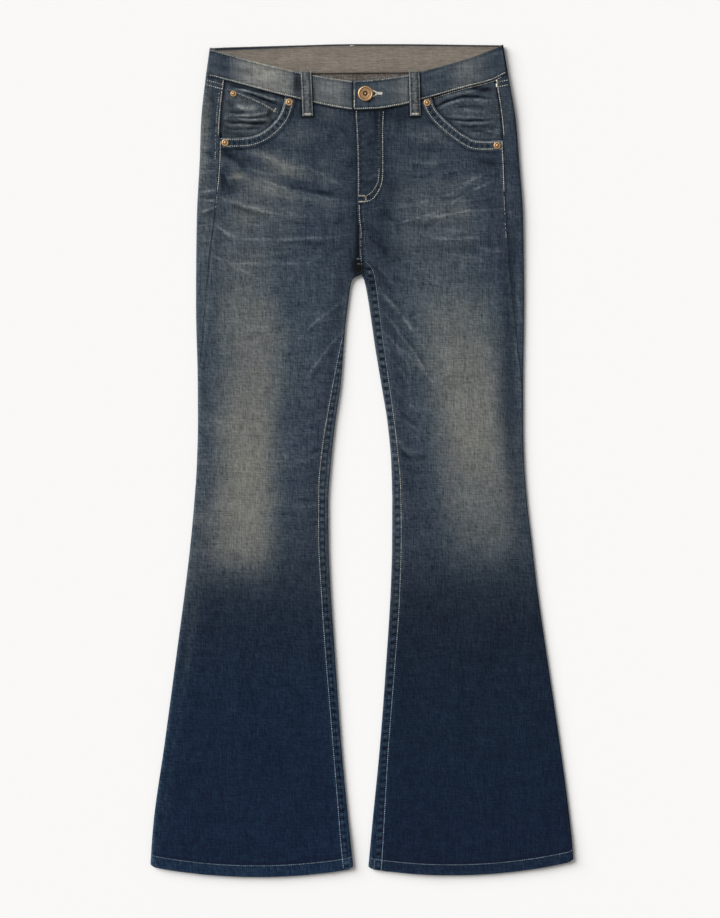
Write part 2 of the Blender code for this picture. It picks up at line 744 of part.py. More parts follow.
def waistband_facing(name, collection, look):
    """Inner face of the back waistband, seen above the dipped front."""
    base, _ = levels(WAIST_Y)

    def grid(lift):
        rows = []
        for k in range(BAND_BACK_STEPS + 1):
            share = lerp(BAND_FACING_ENDS, 1 - BAND_FACING_ENDS, k / BAND_BACK_STEPS)
            ends = [band_point("back", share, edge, 0) for edge in ("low", "high")]
            z = base + BAND + SEAM_GAP + lift
            rows.append([(x, y + inset, z) for (x, y, _), inset in zip(ends, BAND_FACING_EDGES)])
        return rows

    return shell(name, grid(FACING), grid(0), collection, look)


def facing_z(side, x, y):
    """Upper face of a pocket facing: on the back near the mouth, level with the front at its seams."""
    low, high = levels(y)
    sunk = low + UNDER_FACING + DENIM
    away = into_pocket(side, x, y)
    beside_seam = 1 - ramp(0, SEAM_HOLD, (side_seam_x(side, y, 0) - x) * side)
    return lerp(sunk, high, max(ramp(SINK_START, SINK_END, away), beside_seam * ramp(*SEAM_FOOT, away)))


def side_seam_x(side, y, gap):
    return outer_x(side, y) - side * (seam_inset("side", side, y) + gap)


def mouth_line(side, inset):
    """The mouth's edge, from the waistband to an inset from the side seam."""
    line = [p for p in spline(MOUTH[side], 4) if p[1] < band_y("front_low", p[0]) - SEAM_GAP]
    end_y = line[-1][1]
    end_x = side_seam_x(side, end_y, inset)
    return [p for p in line if side * p[0] < side * end_x] + [(end_x, end_y)]


def pocket_facing(side, name, collection, look):
    """Facing: fills the pocket mouth, from under the front to the waistband and the side seam."""
    mouth = mouth_line(side, SEAM_GAP)
    start_x, end_y = mouth[0][0] - side * MOUTH_TUCK, mouth[-1][1] + SEAM_GAP
    corner_y = band_y("front_low", side_seam_x(side, PANEL_TOP_Y, SEAM_GAP)) - SEAM_GAP
    corner_x = side_seam_x(side, corner_y, SEAM_GAP)
    waist_x = [lerp(start_x, corner_x, k / FACING_STEPS) for k in range(FACING_STEPS + 1)]
    seam_y = [lerp(corner_y, end_y, k / FACING_STEPS) for k in range(1, FACING_STEPS + 1)]
    waist = [(x, band_y("front_low", x) - SEAM_GAP) for x in waist_x]
    seam = [(side_seam_x(side, y, SEAM_GAP), y) for y in seam_y]
    boundary = waist + seam

    def grid(drop):
        rows = []
        for i, far in enumerate(boundary):
            u = i / (len(boundary) - 1)
            near = along(mouth, u)
            before, after = along(mouth, max(0, u - AROUND)), along(mouth, min(1, u + AROUND))
            reach = side * MOUTH_TUCK / math.dist(before, after)
            tuck = (near[0] + (after[1] - before[1]) * reach, near[1] - (after[0] - before[0]) * reach)
            if side_seam_x(side, tuck[1], SEAM_GAP) * side < tuck[0] * side:
                tuck = (side_seam_x(side, tuck[1], SEAM_GAP), tuck[1])
            row = []
            for k in range(FACING_STEPS + 1):
                v = k / FACING_STEPS
                x, y = lerp(tuck[0], far[0], v), lerp(tuck[1], far[1], v)
                row.append((x, y, facing_z(side, x, y) - drop))
            rows.append(row)
        return rows

    return shell(name, grid(0), grid(DENIM), collection, look)


def coin_pocket(name, collection, look):
    """Coin pocket: a patch on the right facing, its lower edge running under the front."""
    side = RIGHT
    top = spline(COIN_EDGE, 4)
    mouth = [p for p in mouth_line(side, COIN_INSET) if p[1] < COIN_EDGE[0][1]]
    shares = [0.0] + [lerp(COIN_START, 1, k / (COIN_STEPS - 1)) for k in range(COIN_STEPS)]

    def grid(lift):
        rows = []
        for i in range(COIN_COLUMNS + 1):
            u = i / COIN_COLUMNS
            high, low = along(top, u), along(mouth, u)
            low = (low[0], low[1] - COIN_TUCK)
            row = []
            for v in shares:
                x, y = lerp(low[0], high[0], v), lerp(low[1], high[1], v)
                x = side * min(side * x, side * side_seam_x(side, y, COIN_INSET))
                row.append((x, y, facing_z(side, x, y) + ON_FACING + lift))
            rows.append(row)
        return rows

    return shell(name, grid(FACING), grid(0), collection, look)


def belt_loop(name, face, x, lower_x, high_y, collection, look):
    """A strap over the waistband. In front it arches off the band; at the back it lies under it."""
    low_y = high_y - LOOP_LENGTH
    steps = LOOP_STEPS if face == "front" else 1

    def height(y, across_x):
        if face == "back":
            return 0.0
        on_panel = levels(y)[1] + relief(across_x, y) + SEAM_GAP
        on_band = BAND_TOP_Z + SEAM_GAP
        seam_y = band_y("front_low", across_x)
        share = (y - low_y) / LOOP_LENGTH
        arch = LOOP_ARCH * math.sin(math.pi * ramp(*LOOP_ARCHED, share))
        return lerp(on_panel, on_band, ramp(seam_y - LOOP_CLIMB[0], seam_y - LOOP_CLIMB[1], y)) + arch

    def grid(lift):
        rows = []
        for k in range(steps + 1):
            t = k / steps
            y = lerp(low_y, high_y, t)
            middle = lerp(lower_x, x, t)
            z = height(y, middle) + lift
            rows.append([(middle - LOOP_WIDTH / 2, y, z), (middle + LOOP_WIDTH / 2, y, z)])
        return rows

    return shell(name, grid(LOOP_CLOTH), grid(0), collection, look)


def clear_scene():
    for item in list(bpy.data.objects):
        bpy.data.objects.remove(item, do_unlink=True)
    for item in list(bpy.data.collections):
        bpy.data.collections.remove(item)


def main():
    clear_scene()
    jeans = bpy.data.collections.new("flared_jeans")
    cutters = bpy.data.collections.new("cutters")
    for collection in (jeans, cutters):
        bpy.context.scene.collection.children.link(collection)
    denim = material("denim", DENIM_BLUE, 0.85)
    inside = material("denim_inside", TAUPE, 0.9)
    copper = material("copper", COPPER, 0.35, 1.0)
    for side, word in SIDE_NAMES.items():
        front_panel(side, "front_panel_" + word, jeans, cutters, denim)
        back_panel(side, "back_panel_" + word, jeans, denim)
        back_yoke(side, "back_yoke_" + word, jeans, denim)
        hem_turn(side, "hem_turn_" + word, jeans, denim)
        pocket_facing(side, "pocket_facing_" + word, jeans, denim)
    coin_pocket("coin_pocket", jeans, denim)
    waistband("waistband", jeans, cutters, denim)
    waistband_facing("waistband_facing", jeans, inside)
    for row in LOOPS[1:]:
        belt_loop(*row, jeans, denim)
    lap_top = BAND_TOP_Z + LAP_RISE
    turned("button", BUTTON_PROFILE, (*BUTTON_XY, lap_top + SEAM_GAP), 1.0, jeans, copper)
    for name, x, y, scale in RIVETS[1:]:
        if name == "rivet_coin":
            z = max(facing_z(RIGHT, x + dx, y + dy) for dx in RIVET_REACH for dy in RIVET_REACH)
            z += ON_FACING + FACING
        else:
            z = max(levels(y + dy)[1] for dy in RIVET_REACH)
        turned(name, RIVET_PROFILE, (x, y, z + SEAM_GAP), scale, jeans, copper)


main()
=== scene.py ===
"""Add-on run as a script: dresses the flared jeans, laid flat on their back, and sets the stage round them.

Frame: +X to the wearer's left, +Y from the hems to the waist, +Z up off the surface at z = 0. Sizes in this file
are in millimetres and become metres where a mesh is made. "right" and "left" are the wearer's: right is at -X.
"""

import json  # noqa: E402
import math  # noqa: E402

import bpy  # noqa: E402
import numpy as np  # noqa: E402
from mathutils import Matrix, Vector  # noqa: E402
from mathutils.bvhtree import BVHTree  # noqa: E402

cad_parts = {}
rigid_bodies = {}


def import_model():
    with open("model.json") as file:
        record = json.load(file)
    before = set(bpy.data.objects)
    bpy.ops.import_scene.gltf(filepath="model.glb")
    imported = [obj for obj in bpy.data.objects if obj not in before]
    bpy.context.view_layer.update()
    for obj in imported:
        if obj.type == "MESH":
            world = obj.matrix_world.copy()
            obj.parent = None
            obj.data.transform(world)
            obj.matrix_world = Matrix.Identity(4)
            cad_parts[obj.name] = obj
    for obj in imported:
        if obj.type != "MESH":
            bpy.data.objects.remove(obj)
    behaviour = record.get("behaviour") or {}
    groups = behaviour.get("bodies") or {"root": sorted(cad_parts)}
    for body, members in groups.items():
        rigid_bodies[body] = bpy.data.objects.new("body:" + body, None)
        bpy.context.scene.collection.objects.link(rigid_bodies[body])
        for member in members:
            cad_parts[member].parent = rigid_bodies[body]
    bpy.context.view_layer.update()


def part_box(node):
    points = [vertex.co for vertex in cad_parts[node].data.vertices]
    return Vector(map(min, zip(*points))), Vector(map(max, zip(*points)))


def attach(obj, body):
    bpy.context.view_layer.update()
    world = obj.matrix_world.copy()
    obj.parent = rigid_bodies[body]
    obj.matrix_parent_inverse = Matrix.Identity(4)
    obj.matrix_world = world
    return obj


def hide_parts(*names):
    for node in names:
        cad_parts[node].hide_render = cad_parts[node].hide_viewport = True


bl_info = {
    "name": "Flared jeans",
    "version": (1, 0, 0),
    "blender": (4, 5, 0),
    "location": "View3D > Sidebar > Jeans",
    "description": "Builds the cloth, thread and metal of a pair of flared jeans laid flat",
    "category": "Object",
}

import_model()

MM = 0.001
RIGHT, LEFT = -1, 1
SIDE_NAMES = {RIGHT: "right", LEFT: "left"}

# ---- the forms, as in the solids

DENIM, BAND, FACING, SEAM_GAP = 1.2, 1.8, 1.0, 0.3
FORK_Y, CROTCH_Y, PANEL_TOP_Y, TOP_BLEND_Y = 250.3, 273.0, 500.0, 285.0
FORK_FADE, FORK_FOLD = 26.0, 0.2
HEM_ROW_Y, HEM_BLEND_Y, HEM_TURN = -549.0, -521.0, 16.0
UNDER_FACING, ON_FACING = 1.6, 0.5

OUTER = (
    ("y", "right", "left"),
    (-563, -286.6, 287.6), (-491, -281.5, 281.0), (-383, -266.5, 267.0), (-275, -252.0, 251.0),
    (-167, -237.8, 235.5), (-113, -231.5, 229.3), (-59, -226.5, 223.0), (-5, -222.8, 218.9), (49, -221.4, 217.4),
    (103, -221.6, 217.4), (211, -224.0, 218.7), (324, -223.0, 217.5), (405, -219.0, 212.0), (454, -217.3, 208.0),
    (518, -210.6, 197.5), (562, -204.5, 190.0),
)
INNER = (
    ("y", "right", "left"),
    (-563, -10.0, 7.0), (-491, -17.8, 13.8), (-383, -28.0, 24.3), (-275, -35.6, 32.4), (-167, -42.8, 39.0),
    (-113, -45.0, 40.5), (-59, -45.4, 40.7), (-5, -42.0, 39.4), (49, -36.3, 34.6), (103, -28.6, 25.9),
    (157, -24.4, 17.0), (184, -22.2, 13.2), (211, -18.8, 9.2), (238, -15.0, 4.2), (245, -12.0, 2.2),
    (250.3, -1.9, -0.9),
)
CENTRE = (
    ("y", "front", "back"),
    (250, -1.4, -1.4), (280, -4.0, -2.0), (310, -4.0, -2.8), (335, -6.5, -3.4), (381, -6.3, -4.4),
    (435, -7.5, -5.6), (475, -9.5, -6.4), (562, -9.5, -7.0),
)
SEAMS = (
    ("y", "side_right", "side_left", "inseam_right", "inseam_left"),
    (-563, 0, 0, 6, 6), (49, 0, 0, 5, 5), (103, 0, 2, 4, 5), (152, 6, 8, 1, 5), (208, 12, 15, 0, 6),
    (238, 14.5, 18, 0, 7.5), (250.3, 15.5, 19, 0, 9.5), (262, 16.5, 20, 0, 6.5), (273, 17, 20.5, 0, 1.1),
    (275, 17.2, 20.7, 0, 0), (340, 24, 23, 0, 0), (405, 26, 20.5, 0, 0), (457, 26, 19.5, 0, 0),
    (562, 26.5, 18, 0, 0),
)
LEVELS = (
    ("y", "underside", "room"),
    (-563, 0, 3.8), (-520, 0, 3.8), (-478, 0, 2.2), (-420, 0, 2.0), (200, 0, 2.0), (330, 0, 3.3), (430, 0, 3.3),
    (488, 1.5, 3.2), (562, 1.5, 2.6),
)
BAND_EDGES = (
    ("x", "front_low", "front_high", "back_low", "back_high"),
    (-211, 517.6, 556.0, 517.6, 556.0), (-203, 517.0, 553.6, 517.8, 556.2), (-185, 512.6, 548.5, 518.6, 557.0),
    (-147, 502.8, 537.8, 519.8, 558.2), (-82, 486.0, 522.6, 520.8, 560.0), (-30, 474.9, 513.3, 521.4, 561.4),
    (-8, 472.2, 511.0, 521.6, 561.6), (20, 473.2, 513.2, 521.8, 561.6), (51, 478.3, 517.3, 522.0, 561.6),
    (80, 485.8, 523.5, 522.2, 561.4), (140, 502.8, 540.5, 522.6, 560.6), (174, 511.6, 552.6, 522.8, 560.2),
    (190, 519.4, 558.4, 523.0, 560.0), (198, 523.0, 560.0, 523.0, 560.0),
)
BAND_TOP_Z, BAND_MIDDLE_Y, WAIST_Y = 7.1, 540.0, 560.0
LAP_RISE, LAP_LEFT_X, LAP_RIGHT_X, LAP_FLAT_X, LAP_FOOT_X = 2.1, -12.0, 22.0, 34.0, 52.0
FLY_WIDTH, FLY_FOOT, FLY_BOTTOM_Y, FLY_RISE = 36.0, 12.0, 345.0, 0.8
YOKE_SIDE_Y = {RIGHT: 498.0, LEFT: 501.0}
YOKE_FOLD_Y, YOKE_CENTRE_Y = 505.0, 452.0
HEM_CORNER = (9.0, 3.2)
HEM_LINE = {RIGHT: (-550.3, -561.6, -547.6), LEFT: (-550.3, -558.8, -540.4)}
MOUTH = {
    RIGHT: ((-103, 494), (-106, 479), (-112, 464), (-125, 449.5), (-140, 439.8), (-158, 435.2), (-194, 434.5)),
    LEFT: (
        (93, 496), (95.5, 483), (101, 471.5), (112, 459.5),
        (128, 445.8), (142, 436.4), (157, 430.8), (196, 431.5),
    ),
}
MOUTH_TUCK, SINK_START, SINK_END, SEAM_HOLD, SEAM_FOOT = 6.0, 4.0, 30.0, 16.0, (2.5, 10.0)
COIN_EDGE = ((-112.0, 469.0), (-133.7, 481.4), (-170.0, 497.0), (-181.5, 500.0))
COIN_TUCK, COIN_INSET = 2.0, 3.0
SWELLS = (
    ("x", "y", "half_length", "half_width", "degrees", "height"),
    (-120, 335, 70, 16, -8, 0.9), (-130, 292, 75, 14, 4, 0.8), (110, 340, 70, 16, 12, 0.9),
    (112, 300, 65, 14, 22, 0.7), (50, 190, 70, 13, -50, 1.0), (62, 140, 60, 12, -58, 0.8),
    (-60, 185, 70, 13, 48, 0.9), (-85, 120, 60, 13, 55, 0.7), (75, 30, 45, 13, -15, 0.8), (-85, 0, 45, 13, 20, 0.7),
    (-155, -330, 90, 22, 82, 0.7), (160, -350, 90, 22, 98, 0.7),
)
SWELL_MARGIN, SWELL_TOP_Y = 22.0, (380.0, 430.0)
LOOP_WIDTH, LOOP_LENGTH, LOOP_CLOTH = 14.0, 61.0, 1.2
LOOP_ARCH, LOOP_ARCHED, LOOP_CLIMB = 1.3, (0.12, 0.95), (9.0, 1.0)
LOOPS = (
    ("name", "face", "x", "lower_x", "high_y"),
    ("front_right", "front", -75.6, -72.8, 524.6),
    ("front_left", "front", 70.2, 72.0, 524.9),
    ("back_right", "back", -118, -118, 557.0),
    ("back_centre", "back", -7, -7, 560.0),
    ("back_left", "back", 104, 104, 559.0),
)
BUTTON_XY, BUTTONHOLE_END_X = (4.7, 493.4), 28.5

# ---- colour of the wash

NAVY, OLIVE, INK, THREAD_PALE = "#1a2538", "#70706b", "#161e2a", "#b9b6aa"
TAUPE, TAUPE_DARK = "#776f66", "#625c56"
# Warmth given to places made lighter, by wear and by painted highlight
WORN_AND_LIT_WARMTH = np.array([1.06, 1.02, 0.90])
THREAD_BLUED = np.array([0.80, 0.92, 1.08])
# Unworn denim down the legs
TONES = (
    ("y", "red", "green", "blue"),
    (-563, 5, 25, 50), (-500, 5, 25, 49), (-400, 8, 27, 49), (-300, 13, 29, 49), (-240, 18, 30, 48),
    (-190, 26, 37, 51), (-150, 36, 46, 58), (-100, 45, 55, 67), (-40, 51, 61, 73), (60, 53, 63, 75),
    (200, 54, 65, 76), (300, 51, 61, 73), (400, 47, 57, 69), (500, 43, 52, 64),
)
# Worn bands down the thighs: middle line, half widths towards +X and -X, and strength
THIGH_RIGHT = (
    ("y", "middle", "plus", "minus", "strength"),
    (-200, -162, 38, 42, 0.0), (-172, -161, 38, 42, 0.10), (-150, -160, 38, 42, 0.42), (-135, -160, 38, 42, 0.66),
    (-110, -160, 38, 43, 0.90), (-59, -157, 38, 42, 1.0), (-5, -156, 38, 40, 1.0), (49, -154, 37, 40, 0.95),
    (103, -147, 38, 42, 0.81), (157, -146, 38, 42, 0.70), (211, -150, 34, 42, 0.62), (245, -154, 34, 42, 0.44),
    (300, -154, 36, 42, 0.36), (345, -150, 38, 40, 0.40), (390, -140, 36, 36, 0.20), (430, -130, 36, 36, 0.0),
)
THIGH_LEFT = (
    ("y", "middle", "plus", "minus", "strength"),
    (-200, 168, 42, 50, 0.0), (-165, 168, 42, 50, 0.05), (-140, 168, 42, 50, 0.20), (-113, 168, 42, 50, 0.46),
    (-59, 163, 44, 50, 0.66), (-5, 152, 46, 46, 0.84), (49, 147, 46, 44, 0.92), (103, 142, 46, 48, 0.86),
    (157, 134, 46, 52, 0.72), (211, 126, 46, 50, 0.46), (245, 112, 44, 50, 0.30), (300, 100, 44, 50, 0.30),
    (335, 96, 44, 46, 0.34), (370, 90, 40, 44, 0.14), (420, 90, 40, 44, 0.0),
)
# Smaller worn and dark places: positive strengths are worn, negative ones dark
WEAR = (
    ("x", "y", "half_length", "half_width", "degrees", "strength"),
    (-100, 392, 46, 12, -24, 0.44), (-128, 405, 32, 10, -14, 0.16), (-151, 325, 15, 9, 0, 0.16),
    (-132, 376, 44, 12, -18, 0.30), (-169, 383, 10, 4, 8, 0.60), (-175, 402, 12, 5, -38, 0.30),
    (-80, 356, 60, 10, -10, 0.16), (-97, 345, 55, 14, 90, 0.14), (-84, 440, 20, 11, -20, 0.28),
    (-50, 400, 75, 11, 90, 0.16), (-211, 350, 60, 7, 90, 0.42), (-213, 440, 55, 7, 86, 0.54),
    (-212, 200, 60, 5, 90, 0.16), (-206, -80, 90, 10, 84, 0.18), (-170, 405, 26, 5, -42, -0.60),
    (-181, 372, 16, 5, -60, -0.70), (-151, 405, 18, 7, -20, -0.40), (-165, 423, 30, 6, 4, -0.35),
    (-190, 366, 30, 5, 80, -0.30), (-84, 470, 16, 9, -20, -0.55), (-40, 430, 30, 16, 60, -0.16),
    (-12, 400, 80, 12, 90, -0.30), (-8, 290, 60, 10, 88, -0.40), (14, 400, 80, 16, 90, -0.42),
    (26, 300, 60, 18, 95, -0.34), (20, 220, 50, 9, 112, -0.40), (38, 372, 40, 10, 100, -0.28),
    (-30, 240, 60, 10, 84, -0.34), (24, 456, 30, 6, 90, -0.40), (34, 466, 34, 9, 0, -0.50),
    (64, 462, 26, 10, 0, -0.45), (-76, 367, 44, 8, -12, -0.46), (-146, 415, 26, 5, -8, 0.22),
    (130, 286, 60, 8, 4, -0.26), (200, 270, 60, 6, 90, -0.30), (132, 188, 22, 30, 0, 0.12),
    (92, 440, 26, 11, -4, 0.28), (134, 345, 40, 14, 96, 0.12), (175, 402, 26, 9, 15, -0.36),
    (176, 340, 60, 7, 88, -0.30), (198, 350, 50, 5, 92, 0.18), (206, 300, 90, 6, 90, -0.18),
    (190, 410, 26, 5, 88, 0.18), (60, 402, 50, 10, 16, 0.06), (110, 372, 60, 8, 10, 0.16),
    (51, 366, 34, 9, 0, -0.24), (14, 440, 40, 8, 90, -0.20), (200, 60, 90, 9, 90, -0.35),
    (190, 290, 80, 7, 90, -0.25), (132, 243, 30, 14, 0, -0.12), (51, 284, 30, 12, 0, -0.14),
    (70, 108, 50, 16, 0, -0.12), (-204, -53, 30, 8, 88, -0.20), (-216, 284, 22, 5, 90, 0.20),
    (-207, 473, 22, 6, 88, 0.25), (200, 473, 25, 6, 90, 0.15), (-43, 470, 14, 10, 0, 0.18),
    (-50, 100, 120, 12, 84, -0.14), (46, 110, 100, 9, 97, -0.12), (186, 108, 50, 8, 90, -0.20),
    (16, 246, 14, 9, 90, -0.30), (52, 130, 60, 9, 96, -0.30), (46, 200, 50, 8, 110, -0.24),
    (58, 20, 50, 10, 90, -0.22), (70, -50, 60, 16, 90, -0.24), (-62, -60, 90, 14, 88, -0.26),
    (-40, 120, 70, 9, 82, -0.32), (198, 190, 140, 9, 89, -0.42), (210, -40, 80, 8, 92, -0.28),
    (-214, 100, 50, 5, 90, -0.32), (-216, 10, 90, 4, 90, 0.16), (-228, -150, 90, 8, 84, 0.22),
    (-234, -260, 90, 7, 80, 0.16), (-268, -470, 90, 7, 80, 0.14), (-100, 300, 90, 26, 88, 0.06),
)
